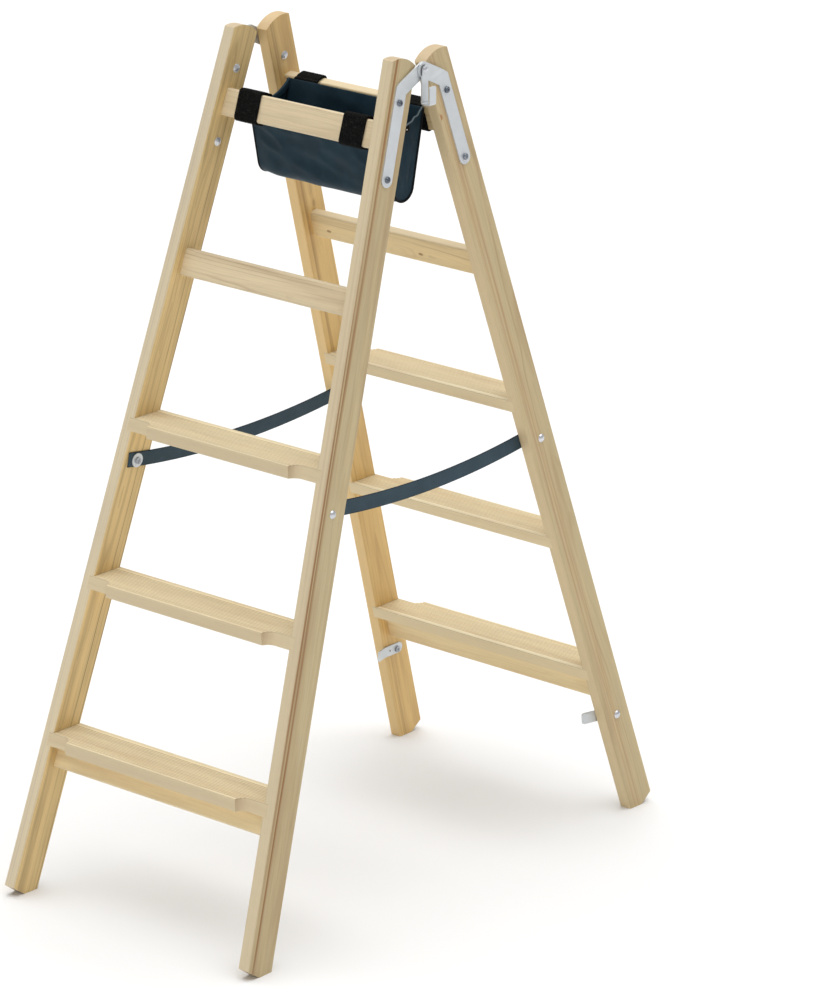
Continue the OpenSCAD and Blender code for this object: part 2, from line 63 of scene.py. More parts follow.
# ladder, sizes in metres as in the part's source
PIN_H = next(j for j in frame["joints"] if j["name"] == "fold")["pos_m"][2]
LEAN = math.radians(18)
SIN, COS = math.sin(LEAN), math.cos(LEAN)
TOP_HALF = 0.188  # half the ladder's width at the pin
SLOPE = 0.0627636  # how far a stile leaves the middle per metre down
TILT = math.atan(SLOPE)
STILE_D, STILE_T = 0.062, 0.023
HINGE_OFFSET = 0.0122
MID_N = HINGE_OFFSET + STILE_D / 2
TOP_RUNG_DROP, STEP_PITCH, APRON_STEPS = 0.1225, 0.28, 4.15
RUNG_H, RUNG_T, RUNG_R = 0.048, 0.019, 0.004
GROOVE_DEPTH, PLAIN_STRIP = 0.0012, 0.006

# hinge screws
ARM_T = 0.0025
SCREW_DROPS = 0.0625, 0.1905
SCREW_HEAD_R, SCREW_HEAD_H, SCREW_SHANK_R = 0.00575, 0.0044, 0.003
SCREW_SHANK_L = ARM_T + STILE_T + 0.003
SCREW_TIP_R, SCREW_TIP_L = SCREW_SHANK_R * 0.6, 0.0008
HEAD_LIP, HEAD_ROUNDING = 0.0002, 0.6
SCREW_SIDES, EDGE_RINGS, CROWN_RINGS, CROWN_END_R = 72, 15, 17, 0.00012
RECESS_HALF_W, RECESS_HALF_L, RECESS_DEPTH = 0.0008, 0.0030, 0.0018
RECESS_SIDE, RECESS_END = 0.0003, 0.0006

# spreader straps
STRAP_W, STRAP_T = 0.0265, 0.002
STRAP_ROWS = 141
STRAP_SAG, STRAP_TAIL = 0.019, 0.02
STRAP_DROP = 0.7505
STRAP_Y = STRAP_DROP * SIN + MID_N * COS
STRAP_Z = PIN_H - STRAP_DROP * COS + MID_N * SIN
STRAP_EDGE_Y = (PIN_H - STRAP_Z) * SIN / COS + HINGE_OFFSET / COS
STRAP_WALL_GAP = 0.0004
DARK_EDGE_W = 0.0022

# tool bag: shape and hems
BAG_LOW, BAG_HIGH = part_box("tool_bag")
BAG_HALF_W, BAG_RIM_Z = BAG_HIGH[0], BAG_HIGH[2]
BAG_RIM_HALF, BAG_BOTTOM_R = 0.051, 0.025
BAG_ROUND_Z = BAG_LOW[2] + BAG_BOTTOM_R
BAG_MIDDLE_Z = BAG_RIM_Z - 0.12
BAG_CLOTH, PIPING_R, PIPING_OUT = 0.0011, 0.0021, 0.6
FRONT_RIM_DROP = 0.0045
HEM_H, HEM_GAP, END_HEM_GAP = 0.012, 0.0020, 0.0026
HEM_ROWS, FOLD_ROWS, WALL_ROWS, ARC_ROWS = 5, 7, 38, 13
WRAP_COLUMNS, END_COLUMNS = 77, 61

# tool bag: how the long panel hangs; a ramp is the depth where it starts and how far it runs
END_HOLD, RIM_HOLD = 0.035, 0.05
BROAD_FOLD, SHARP_FOLD, BELLY = 0.0086, 0.0040, 0.0012
TIGHT_SHARE, TIGHT_RAMP = 0.75, (0.11, 0.03)
BOTTOM_SAG, SAG_RAMP = 0.0022, (0.09, 0.06)

# tool bag: how the end panels hang
END_SAG, END_SAG_DEPTH, END_SAG_FADE = 0.023, 0.13, 1.5
RIM_WRINKLES = {-1: 0.0004, 1: 0.0021}
WRINKLE_AT, WRINKLE_W, WRINKLE_REACH = 0.67, 0.34, 0.2
END_BELLY, END_RIPPLE, END_TIGHT_RAMP = 0.002, 0.0022, (0.1, 0.05)
# pale rim line of each end panel: partly wear, partly a painted highlight on the hem's fold
RIM_WEAR_AND_HIGHLIGHT = {-1: 0.15, 1: 0.8}
WEAR_AND_HIGHLIGHT_UP_RAMP, WEAR_AND_HIGHLIGHT_OUT_RAMP = (0.0001, 0.0008), (-0.0016, 0.0010)

# tool bag: tabs, rivets and stitches
TAB_ROWS, TAB_COLUMNS, TAB_T, TAB_GAP = 5, 9, 0.0010, 0.0002
RIVET_R, RIVET_H, RIVET_COLUMNS = 0.0024, 0.0012, 5
RIVET_SIDES, RIVET_RINGS = 12, 5
SEAM_LINE = 2  # rows or columns from a panel's edge to its stitches
STITCH_LIFT = 0.0003

# bag loops; a path's two ends are given from the bag's rim, out from the pin's plane and down the stile
LOOP_W, LOOP_T, LOOP_GAP, LOOP_SLACK = 0.05, 0.0030, 0.0005, 0.0018
LOOP_BAG_GAP = 0.0006
LOOP_START = (-0.0004, 0.010), (0.0, 0.004), (0.0015, -0.0005)
LOOP_FINISH = (0.0075, 0.026), (0.0032, 0.014)
FIBRE_LEAN = 1.1


def srgb(red, green, blue):
    """A screen's colour, 0 to 255, as the linear colour that a shader takes."""

    def linear(c):
        c /= 255
        return c / 12.92 if c <= 0.04045 else ((c + 0.055) / 1.055) ** 2.4

    return (linear(red), linear(green), linear(blue), 1.0)


def on_section(x, n, s, rear=False):
    """A point at x, n out from the hinge pin's plane and s down the stile from the pin."""
    y = s * SIN + n * COS
    return Vector((x, y if rear else -y, PIN_H - s * COS + n * SIN))


def section_way(n, s, rear, x=0.0):
    """A direction on a section: x to the right, n out and s down the stile."""
    return on_section(x, n, s, rear) - on_section(0, 0, 0, rear)


# node wiring


class Wire:
    """What flows out of a node. Sums and products of wires add math nodes to their tree."""

    def __init__(self, socket):
        self.socket, self.tree = socket, socket.id_data

    def calc(self, operation, *others, out=0, **settings):
        kind = "VectorMath" if self.socket.type == "VECTOR" else "Math"
        return wire(self.tree, kind, dict(enumerate((self, *others))), out, operation=operation, **settings)

    __add__ = partialmethod(calc, "ADD")
    __sub__ = partialmethod(calc, "SUBTRACT")
    __mul__ = partialmethod(calc, "MULTIPLY")
    __truediv__ = partialmethod(calc, "DIVIDE")
    __pow__ = partialmethod(calc, "POWER")
    __abs__ = partialmethod(calc, "ABSOLUTE")


def feed(socket, value):
    """Links a socket to a wire, or sets it to a plain value."""
    if isinstance(value, Wire):
        value.tree.links.new(value.socket, socket)
    else:
        socket.default_value = value


def add(tree, kind, inputs=None, **settings):
    """A new node of the tree's own family, or of the one that its kind names."""
    family = "" if "Node" in kind else tree.bl_idname.removesuffix("Tree")
    node = tree.nodes.new(family + kind)
    for key, value in settings.items():
        setattr(node, key, value)
    for key, value in (inputs or {}).items():
        feed(node.inputs[key], value)
    return node


def wire(tree, kind, inputs=None, out=0, **settings):
    """A new node's output."""
    return Wire(add(tree, kind, inputs, **settings).outputs[out])


def wires(node):
    """A node's outputs by name."""
    return {socket.name: Wire(socket) for socket in node.outputs if socket.name}


def surface(tree):
    """A surface point's place and normal."""
    coords = wires(add(tree, "TexCoord"))
    return coords["Object"], coords["Normal"]


def axis_of(vector, index):
    return wire(vector.tree, "SeparateXYZ", {"Vector": vector}, index)


def reach(place, centre, weigh):
    """How far a place is from a centre, with each axis weighed."""
    return ((place - centre) * weigh).calc("LENGTH", out="Value")


def facing(normal, way):
    """How squarely a surface faces one way or its opposite, 0 to 1."""
    return abs(normal.calc("DOT_PRODUCT", way, out="Value"))


def remap(value, low, high, to_low=0.0, to_high=1.0):
    sizes = {"Value": value, "From Min": low, "From Max": high, "To Min": to_low, "To Max": to_high}
    return wire(value.tree, "MapRange", sizes, interpolation_type="SMOOTHSTEP")


def mottle(vector, stretch, detail=2.0, rough=0.5):
    """Noise from 0 to 1 over a vector that is stretched first, in cycles per metre."""
    sizes = {"Vector": vector * stretch, "Scale": 1.0, "Detail": detail, "Roughness": rough}
    return wire(vector.tree, "TexNoise", sizes)


def mix(share, a, b, mode="MIX"):
    tree = next(value.tree for value in (share, a, b) if isinstance(value, Wire))
    return wire(tree, "Mix", {0: share, 6: a, 7: b}, 2, data_type="RGBA", blend_type=mode)


def shaded(tone, level):
    """A colour made darker or lighter by a level, where 1 leaves it as it is."""
    grey = wire(level.tree, "CombineColor", dict.fromkeys(("Red", "Green", "Blue"), level))
    return mix(1.0, tone, grey, "MULTIPLY")


def bump(height, distance, strength):
    return wire(height.tree, "Bump", {"Height": height, "Distance": distance, "Strength": strength})


def node_group(name, family, inputs, outputs):
    """An empty group; inputs and outputs give the names of each kind of socket."""
    tree = bpy.data.node_groups.new(name, family + "NodeTree")
    for way, kinds in (("INPUT", inputs), ("OUTPUT", outputs)):
        for kind, labels in kinds.items():
            for label in labels:
                tree.interface.new_socket(label, in_out=way, socket_type="NodeSocket" + kind)
    return tree, wires(add(tree, "NodeGroupInput")), add(tree, "NodeGroupOutput").inputs


def use_group(tree, group, inputs):
    return wires(add(tree, "Group", inputs, node_tree=group))


def spaced(values):
    """Keywords as the names of sockets."""
    return {key.replace("_", " "): value for key, value in values.items()}


def new_material(name):
    material = bpy.data.materials.new(name)
    material.use_nodes = True
    material.node_tree.nodes.clear()
    return material, material.node_tree


def finish(material, **values):
    """Ends a material with one shader and its values."""
    shader = wire(material.node_tree, "BsdfPrincipled", spaced(values))
    add(material.node_tree, "OutputMaterial", {"Surface": shader})
    return material


# shared effects

# noises in a board: cycles per metre along and across the grain, detail, roughness
GRAIN_NOISES = {
    "slow": ((1.3, 9, 9), 1.0),
    "quick": ((5, 42, 42), 2.0),
    "flame": ((2.2, 17, 17), 3.0, 0.6),
    "broken": ((2.8, 70, 70), 3.0, 0.6),
    "fibre": ((16, 760, 760), 2.0, 0.6),
    "band": ((0.9, 55, 55), 2.0),
    "fleck": ((70, 900, 900), 1.0),
    "warm": ((2.6, 30, 30), 3.0, 0.6),
    "streaks": ((0.8, 190, 190), 2.0, 0.6),
}
GRAIN_INPUTS = {
    "Vector": ("Board", "Pith", "Seed", "Knot", "Second Knot"),
    "Color": ("Early Wood", "Late Wood", "Heart Wood", "Edge Wood"),
    "Float": ("Edge", "End", "Groove Shade", "Ring Width", "Wander", "Lines", "Heart Line", "Heart Width",
              "Heart Strength", "Knot Size", "Knot Strength"),
}
RING_STOPS = ((0.0, 0.25), (0.045, 0.0), (0.62, 0.02), (0.82, 0.20), (0.93, 1.0), (1.0, 0.25))
QUICK_BEND, FLAME_BEND = 0.0022, 0.0050
KNOT_WEIGH, KNOT_FADE, KNOT_PUSH = (0.5, 1, 1), -0.35, 1.4
YEARS_PER_METRE = 150.0
FINE_RINGS, FINE_LEVEL = 0.29, 0.20
HEART_SLOW, HEART_QUICK = 0.012, 0.0045
WARM_PATCHES, MOTTLING = 0.32, 0.055
PALE_EDGE, PALE_END, CALM_EDGE = 0.70, 0.55, 0.5
# end grain is made darker, partly its own tone and partly painted shade on the tops that face up
FLECK_DARK, GROOVE_SHADE_LEVEL, END_DARK_AND_SHADE = 0.10, 0.20, 0.10
LINE_GLOSS, LINE_H, FIBRE_H, FLECK_H = -0.10, 0.5, 0.5, 0.35
END_GRAIN = srgb(208, 184, 150)

SLACK_TURNS = 20.0


def pine_grain_group():
    """Growth rings round a pith, fibres, a heartwood streak and up to two knots, on a board's own axes."""
    tree, given, out = node_group(
        "pine_grain", "Shader", GRAIN_INPUTS, {"Color": ["Color"], "Float": ["Roughness", "Height"]}
    )
    board, edge, end = given["Board"], given["Edge"], given["End"]
    ring_width, late_wood, heart_wood = given["Ring Width"], given["Late Wood"], given["Heart Wood"]
    seeded = board + given["Seed"]
    noises = {key: mottle(seeded, *recipe) for key, recipe in GRAIN_NOISES.items()}
    slow, quick, flame = (noises[key] - 0.5 for key in ("slow", "quick", "flame"))
    fibre, fleck = noises["fibre"], remap(noises["fleck"], 0.66, 0.76)

    first, second = (reach(board, given[key], KNOT_WEIGH) for key in ("Knot", "Second Knot"))
    knot_d = first.calc("MINIMUM", second) / given["Knot Size"]
    knot_swell = (knot_d**2 * KNOT_FADE).calc("EXPONENT") * given["Knot Strength"]

    radius = reach(board, given["Pith"], (0, 1, 1))
    radius = radius + slow * given["Wander"] + quick * QUICK_BEND + flame * FLAME_BEND
    radius = radius + knot_swell * (given["Knot Size"] * KNOT_PUSH)
    ring = add(tree, "ValToRGB", {"Fac": (radius / ring_width).calc("FRACT")})
    stops = ring.color_ramp.elements
    while len(stops) < len(RING_STOPS):
        stops.new(0.5)
    for stop, (place, level) in zip(stops, RING_STOPS):
        stop.position = place
        stop.color = (level, level, level, 1)
    years = wire(tree, "CombineXYZ", {"X": radius * YEARS_PER_METRE}) + given["Seed"]
    strong_years = remap(mottle(years, (1, 1, 1), 0.0), 0.38, 0.68, 0.18, 1.0)
    fine = remap((radius / (ring_width * FINE_RINGS)).calc("FRACT"), 0.5, 1.0, 0.0, FINE_LEVEL)
    line = (Wire(ring.outputs[0]) * strong_years).calc("ADD", fine, use_clamp=True)
    line = line * given["Lines"] * remap(noises["broken"], 0.34, 0.56, 0.30, 1.0)

    warm = remap(noises["warm"], 0.45, 0.75, 0.0, WARM_PATCHES)
    tone = mix(warm, given["Early Wood"], late_wood)
    tone = mix(line, tone, late_wood)
    heart_d = abs(axis_of(board, 1) + slow * HEART_SLOW + quick * HEART_QUICK - given["Heart Line"])
    heart = remap(heart_d / given["Heart Width"], 1.0, 0.1) * remap(noises["streaks"], 0.46, 0.58, 0.14, 1.0)
    tone = mix(heart * given["Heart Strength"], tone, heart_wood)
    tone = mix(edge.calc("MAXIMUM", end) * PALE_EDGE, tone, given["Edge Wood"])
    tone = mix(end * PALE_END, tone, END_GRAIN)
    tone = mix(remap(knot_d, 1.15, 0.55) * given["Knot Strength"], tone, heart_wood)
    band, hairs = (remap(noises[key], 0.2, 0.8, -MOTTLING, MOTTLING) for key in ("band", "fibre"))
    shade = (band + hairs) * (edge * -CALM_EDGE + 1.0)
    # painted shade: the grooves and plain strips of a grooved top are darkened here
    shade = shade - fleck * FLECK_DARK - given["Groove Shade"] * GROOVE_SHADE_LEVEL - end * END_DARK_AND_SHADE
    feed(out["Color"], shaded(tone, shade + 1.0))
    feed(out["Roughness"], line * LINE_GLOSS + remap(fibre, 0.2, 0.8, 0.50, 0.64))
    feed(out["Height"], line * LINE_H + fibre * FIBRE_H - fleck * FLECK_H)
    return tree


def zinc_bloom_group():
    """Cloudy zinc: broad dull patches, fine grain and a few rubbed lines."""
    tree, given, out = node_group(
        "zinc_bloom", "Shader", {"Vector": ["Place"]}, {"Float": ["Cloud", "Grain", "Rubbed"]}
    )
    feed(out["Cloud"], remap(mottle(given["Place"], (55, 55, 55), 3.0, 0.6), 0.3, 0.72))
    feed(out["Grain"], mottle(given["Place"], (1500, 1500, 1500), 1.0))
    feed(out["Rubbed"], remap(mottle(given["Place"], (60, 60, 900), 1.0), 0.60, 0.74))
    return tree


def weave_group():
    """Over-and-under threads on a map in metres, with slack and tight places; Thread is high where a thread
    lies on top, for painted shade in the low places.
    """
    inputs = {"Vector": ["Map", "Pitch"], "Float": ["Slack"]}
    tree, given, out = node_group("weave", "Shader", inputs, {"Float": ["Height", "Thread", "Fade"]})
    drift = (mottle(given["Map"], (240, 240, 240), 1.0) - 0.5) * (given["Slack"] * SLACK_TURNS)
    turns = given["Map"] / given["Pitch"] * (math.tau, math.tau, math.tau)
    warp, weft = ((axis_of(turns, k) + drift).calc("SINE") for k in (0, 1))
    over = warp * weft * 0.5 + 0.5
    feed(out["Height"], over)
    feed(out["Thread"], remap(over, 0.1, 0.9))
    feed(out["Fade"], mottle(given["Map"], (28, 28, 28), 3.0, 0.55))
    return tree


PINE_GRAIN = pine_grain_group()
ZINC_BLOOM = zinc_bloom_group()
WEAVE = weave_group()


# finishes

PINE = {
    "Early Wood": srgb(216, 196, 157),
    "Late Wood": srgb(172, 122, 70),
    "Heart Wood": srgb(140, 94, 50),
    "Edge Wood": srgb(212, 197, 167),
    "Ring Width": 0.0036,
    "Heart Width": 0.008,
    "Knot Size": 0.006,
    "Second Knot": (0, 0, 9),
}
# painted shade in a tread top's grooves and on the plain strips along its edges
GROOVE_SHADE_FROM, GROOVE_SHADE_TO = GROOVE_DEPTH * 0.15, GROOVE_DEPTH * 0.75
GROOVE_LOW, GROOVE_BLUR = 0.0006, 0.0002
STRIP_SHADE, STRIP_BLUR = 0.55, 0.0005
RUB_SHARE, RUB_GLOSS = 0.35, -0.15
# painted shade for the gaps between the plates stacked on the hinge pin
PIVOT_SHADE, PIVOT_SHADE_R, PIVOT_SHADE_SHARE = srgb(46, 48, 52), 0.013, 0.85
# painted shade in the weave: darker where the threads dip under each other
WEAVE_SHADE_RISE, WEAVE_SHADE_BASE = 0.28, 0.78
SPECK_SHARE = 0.75
EDGE_MARK = "edge_mark"


def pine(name, along, across, centre, groove_top=None, groove_half=None, **look):
    """Pine on a board that runs along one direction and is as wide as the other.

    Under a grooved top, painted shade darkens the grooves and also the plain strips past groove_half.
    """
    material, tree = new_material(name)
    along, across = Vector(along).normalized(), Vector(across).normalized()
    turn = Matrix((along, across, along.cross(across))).transposed().to_euler()
    place, normal = surface(tree)
    laid = {"Vector": place, "Location": centre, "Rotation": turn}
    board = wire(tree, "Mapping", laid, vector_type="TEXTURE")
    values = {**PINE, **spaced(look), "Board": board}
    values.update({"Edge": facing(normal, across), "End": facing(normal, along)})
    if groove_top:
        # painted shade: darker down in the grooves and on the plain strips beside them
        z = axis_of(place, 2)
        floor = groove_top - GROOVE_DEPTH
        sunk = remap(z, groove_top - GROOVE_SHADE_FROM, groove_top - GROOVE_SHADE_TO)
        sunk = sunk * remap(z, floor - GROOVE_LOW, floor - GROOVE_BLUR)
        aside = abs(axis_of(board, 1))
        strip = remap(aside, groove_half - STRIP_BLUR, groove_half + STRIP_BLUR, 0.0, STRIP_SHADE)
        strip = strip * remap(z, floor, groove_top - GROOVE_BLUR)
        values["Groove Shade"] = sunk.calc("MAXIMUM", strip)
    grain = use_group(tree, PINE_GRAIN, values)
    relief = bump(grain["Height"], distance=0.00025, strength=0.8)
    wood = {"Base_Color": grain["Color"], "Roughness": grain["Roughness"], "Normal": relief}
    return finish(material, Specular_IOR_Level=0.42, **wood)


def zinc(name, bright, dull, rough, pivot_shaded=False):
    """Zinc-coated steel, with painted shade on the cut edges round the hinge pin when asked for."""
    material, tree = new_material(name)
    place, normal = surface(tree)
    bloom = use_group(tree, ZINC_BLOOM, {"Place": place})
    rubbed = bloom["Rubbed"] * RUB_SHARE
    tone = mix(rubbed, mix(bloom["Cloud"], bright, dull), bright)
    # painted shade: the cut edges near the pin are darkened where the stacked plates meet
    if pivot_shaded:
        near = remap(reach(place, (0, 0, PIN_H), (0, 1, 1)), PIVOT_SHADE_R, PIVOT_SHADE_R * 0.8)
        flat = facing(normal, (1, 0, 0))
        tone = mix(near * remap(flat, 0.9, 0.5, 0.0, PIVOT_SHADE_SHARE), tone, PIVOT_SHADE)
    level = rubbed * RUB_GLOSS + remap(bloom["Cloud"], 0.0, 1.0, rough, rough + 0.05)
    relief = bump(bloom["Grain"], distance=0.00004, strength=0.5)
    return finish(material, Metallic=0.6, Base_Color=tone, Roughness=level, Normal=relief)


def cloth(name, light, dark, pitch, rough, depth, slack=0.15, marked=None):
    """Woven cloth on the piece's own map, which is in metres; marked colours the edges marked on the mesh."""
    material, tree = new_material(name)
    place = wire(tree, "UVMap")
    thread = use_group(tree, WEAVE, {"Map": place, "Pitch": (*pitch, 1), "Slack": slack})
    tone = mix(remap(thread["Fade"], 0.25, 0.75), dark, light)
    # painted shade: the weave's low places between crossing threads are darkened
    tone = shaded(tone, thread["Thread"] * WEAVE_SHADE_RISE + WEAVE_SHADE_BASE)
    if marked:
        mark = wire(tree, "Attribute", out="Fac", attribute_name=EDGE_MARK)
        tone = mix(mark, tone, marked)
    level = remap(thread["Fade"], 0.2, 0.8, rough - 0.06, rough + 0.08)
    relief = bump(thread["Height"], depth, strength=0.7)
    soft = {"Specular_IOR_Level": 0.10, "Sheen_Weight": 0.02, "Sheen_Roughness": 0.5}
    return finish(material, Base_Color=tone, Roughness=level, Normal=relief, **soft)


def pile_tape(name):
    """Black hook-and-loop tape: a felted face, speckled where fibre ends catch the light."""
    material, tree = new_material(name)
    place, _ = surface(tree)
    felt = mottle(place, (900, 900, 900), 2.0, 0.7)
    speck = remap(mottle(place, (520, 520, 520)), 0.50, 0.66) * SPECK_SHARE
    tone = mix(speck, mix(felt, srgb(2, 2, 2), srgb(11, 11, 11)), srgb(40, 40, 38))
    level, relief = remap(felt, 0.2, 0.8, 0.72, 0.95), bump(felt, distance=0.0006, strength=0.9)
    soft = {"Specular_IOR_Level": 0.08, "Sheen_Weight": 0.02, "Sheen_Roughness": 0.4}
    return finish(material, Base_Color=tone, Roughness=level, Normal=relief, **soft)


def thread_finish(name, light, dark):
    """Twisted sewing thread."""
    material, tree = new_material(name)
    place, _ = surface(tree)
    twist = mottle(place, (1800, 1800, 1800), 1.0)
    tone, level = mix(twist, dark, light), remap(twist, 0.2, 0.8, 0.5, 0.7)
    return finish(material, Specular_IOR_Level=0.4, Base_Color=tone, Roughness=level)


# marked: the end panels' pale rim line, partly wear and partly a painted highlight
BAG_CLOTH_FINISH = cloth(
    "bag_cloth", srgb(37, 59, 71), srgb(28, 48, 60), (0.0013, 0.0013), 0.50, 0.00008, 0.1,
    marked=srgb(120, 132, 138),
)
WEBBING_FINISH = cloth(
    "strap_webbing", srgb(69, 86, 97), srgb(60, 77, 87), (0.0022, 0.0016), 0.6, 0.00018, 0.06,
    marked=srgb(30, 40, 48),
)
PIPING_FINISH = cloth("bag_piping", srgb(20, 22, 24), srgb(12, 13, 15), (0.0014, 0.0014), 0.5, 0.0001)
TAPE_FINISH = pile_tape("loop_tape")
THREAD_FINISH = thread_finish("bag_thread", srgb(62, 76, 86), srgb(40, 52, 60))
ZINC_FINISH = zinc("zinc_steel", srgb(213, 217, 220), srgb(210, 214, 217), 0.45)
HINGE_FINISH = zinc("hinge_zinc", srgb(213, 217, 220), srgb(210, 214, 217), 0.45, pivot_shaded=True)
DOME_FINISH = zinc("polished_zinc", srgb(226, 228, 233), srgb(206, 209, 215), 0.27)
NUT_FINISH = zinc("nut_steel", srgb(178, 182, 188), srgb(136, 141, 148), 0.30)
RIVET_FINISH = zinc("white_rivet", srgb(250, 250, 250), srgb(244, 244, 244), 0.40)
SCREW_FINISH = zinc("screw_steel", srgb(144, 151, 160), srgb(86, 92, 102), 0.26)


# pine and steel pieces

STILE_LOOKS = {
    "front_left_stile": dict(
        Pith=(0, 0.012, -0.052), Ring_Width=0.0052, Wander=0.014, Lines=1.0, Seed=(3.1, 0.2, 0.7),
        Early_Wood=srgb(232, 203, 143), Late_Wood=srgb(106, 62, 28), Edge_Wood=srgb(205, 196, 175),
    ),
    "front_right_stile": dict(
        Pith=(0, -0.02, -0.085), Ring_Width=0.0052, Wander=0.010, Lines=0.55, Seed=(7.4, 1.3, 0.1),
        Early_Wood=srgb(200, 182, 141), Late_Wood=srgb(144, 98, 54), Heart_Wood=srgb(146, 97, 46),
        Heart_Line=0.0225, Heart_Width=0.0135, Heart_Strength=0.88,
    ),
    "rear_left_stile": dict(
        Pith=(0, 0.004, 0.060), Ring_Width=0.0054, Wander=0.014, Lines=0.45, Seed=(1.9, 2.6, 1.4),
        Early_Wood=srgb(230, 195, 129), Late_Wood=srgb(158, 102, 50), Edge_Wood=srgb(224, 193, 138),
        Heart_Line=-0.018, Heart_Width=0.0120, Heart_Strength=0.40,
        Knot=(0.3657, 0.0043, 0.0115), Knot_Size=0.0042, Knot_Strength=0.38,
    ),
    "rear_right_stile": dict(
        Pith=(0, 0.026, 0.095), Ring_Width=0.0054, Wander=0.012, Lines=0.62, Seed=(5.6, 0.9, 2.2),
        Early_Wood=srgb(203, 184, 142), Late_Wood=srgb(146, 98, 54), Edge_Wood=srgb(216, 195, 155),
        Heart_Wood=srgb(176, 118, 74), Heart_Line=-0.012, Heart_Width=0.015, Heart_Strength=0.36,
        Knot=(0.1021, -0.0262, 0.0115), Knot_Size=0.0029, Knot_Strength=0.85,
    ),
}
# The rear treads are painted a little paler than the front ones: painted light standing in for the light the
# front section keeps off them.
TREAD_WOOD = {
    "front": dict(Early_Wood=srgb(235, 219, 181), Edge_Wood=srgb(194, 176, 143)),
    "rear": dict(Early_Wood=srgb(238, 224, 189), Edge_Wood=srgb(212, 190, 147)),
}
RUNG_WOOD = {
    "front": dict(Early_Wood=srgb(214, 196, 161), Late_Wood=srgb(122, 80, 42), Lines=0.48),
    "rear": dict(Early_Wood=srgb(226, 201, 151), Late_Wood=srgb(122, 80, 42), Lines=0.38),
}
# The aprons are painted paler than the rungs: painted light that cancels the shade cast by the treads above
# them.
APRON_WOOD_AND_LIGHT = {
    "front": dict(Early_Wood=srgb(238, 216, 168), Late_Wood=srgb(190, 146, 92), Lines=0.30),
    "rear": dict(Early_Wood=srgb(230, 208, 160), Late_Wood=srgb(190, 146, 92), Lines=0.30),
}
CROSS_BARS = (("rung_5", 0, RUNG_WOOD), ("rung_4", 1, RUNG_WOOD), ("apron", APRON_STEPS, APRON_WOOD_AND_LIGHT))
RUNG_KNOTS = dict(
    Knot=(0.0563, 0.0075, -0.0095), Second_Knot=(-0.153, 0.0061, -0.0095),
    Knot_Size=0.0030, Knot_Strength=0.75,
)
# the right hinge arm and the hook take the painted shade at the pin; the left arm is left without it
STEEL_FINISHES = {
    ("left_hinge_arm", "guide_plate", "washers"): ZINC_FINISH,
    ("right_hinge_arm", "bucket_hook"): HINGE_FINISH,
    ("hinge_pin", "bolts", "domed_nuts"): DOME_FINISH,
    ("strap_nuts", "plate_nuts"): NUT_FINISH,
}


def dress(node, material):
    for holder in frame["nodes"][node].material_slots:
        holder.material = material


def dress_stiles():
    for end, rear in SECTIONS:
        for hand, sign in SIDES.items():
            name = f"{end}_{hand}_stile"
            middle = sign * (TOP_HALF - STILE_T / 2)
            run, out = section_way(0, 1, rear, sign * SLOPE), section_way(1, 0, rear)
            top = on_section(middle, MID_N, 0, rear)
            dress(name, pine(name + "_pine", run, out, top, **STILE_LOOKS[name]))


def dress_cross_pieces():
    """Treads, rungs and aprons, each cut from another place in the tree."""
    turn = 0
    for end, rear in SECTIONS:
        out = (0, 1 if rear else -1, 0)
        for row in (1, 2, 3):
            turn += 1
            name = f"{end}_tread_{row}"
            low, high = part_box(name)
            look = dict(
                Pith=(0, 0.01 * (turn % 3 - 1), -0.05 - 0.008 * (turn % 4)), Wander=0.012, Lines=0.34,
                Seed=(2.3 * turn, 1.1 * turn, 0.7 * turn), Late_Wood=srgb(176, 130, 76), **TREAD_WOOD[end],
                groove_top=high[2], groove_half=(high[1] - low[1]) / 2 - PLAIN_STRIP,
            )
            dress(name, pine(name + "_pine", (1, 0, 0), out, (low + high) / 2, **look))
        down = section_way(0, 1, rear)
        for kind, drop, wood in CROSS_BARS:
            turn += 1
            name = f"{end}_{kind}"
            middle = on_section(0, MID_N, TOP_RUNG_DROP + drop * STEP_PITCH, rear)
            look = dict(
                Pith=(0, 0.012 * (turn % 3 - 1), 0.045 + 0.012 * (turn % 3)), Ring_Width=0.0028, Wander=0.018,
                Seed=(1.7 * turn, 2.9 * turn, 0.3 * turn), **wood[end],
            )
            if name == "rear_rung_4":
                look.update(RUNG_KNOTS)
            dress(name, pine(name + "_pine", (1, 0, 0), down, middle, **look))


def dress_steel():
    for name in frame["nodes"]:
        for endings, finish in STEEL_FINISHES.items():
            if name.endswith(endings):
                dress(name, finish)


# mesh making


def place_new(name, data):
    """A new object at the origin."""
    piece = bpy.data.objects.new(name, data)
    bpy.context.scene.collection.objects.link(piece)
    return piece


def plain_mesh(name, points, edges=(), faces=()):
    mesh = bpy.data.meshes.new(name)
    mesh.from_pydata([tuple(p) for p in points], edges, faces)
    return mesh


def make_piece(name, points, faces, material, maps=None):
    """A smooth piece; maps gives each face corner's place on the cloth, in metres."""
    mesh = plain_mesh(name, points, faces=faces)
    if maps:
        layer = mesh.uv_layers.new(name="UVMap")
        layer.data.foreach_set("uv", np.asarray(maps, np.float32).ravel())
    mesh.polygons.foreach_set("use_smooth", [True] * len(mesh.polygons))
    mesh.materials.append(material)
    mesh.update()
    return place_new(name, mesh)


def along_rows(rows, axis):
    """Distance along a grid of points from its first row or column."""
    steps = np.linalg.norm(np.diff(rows, axis=axis), axis=2)
    start = np.zeros_like(np.take(steps, [0], axis=axis))
    return np.cumsum(np.concatenate((start, steps), axis=axis), axis=axis)


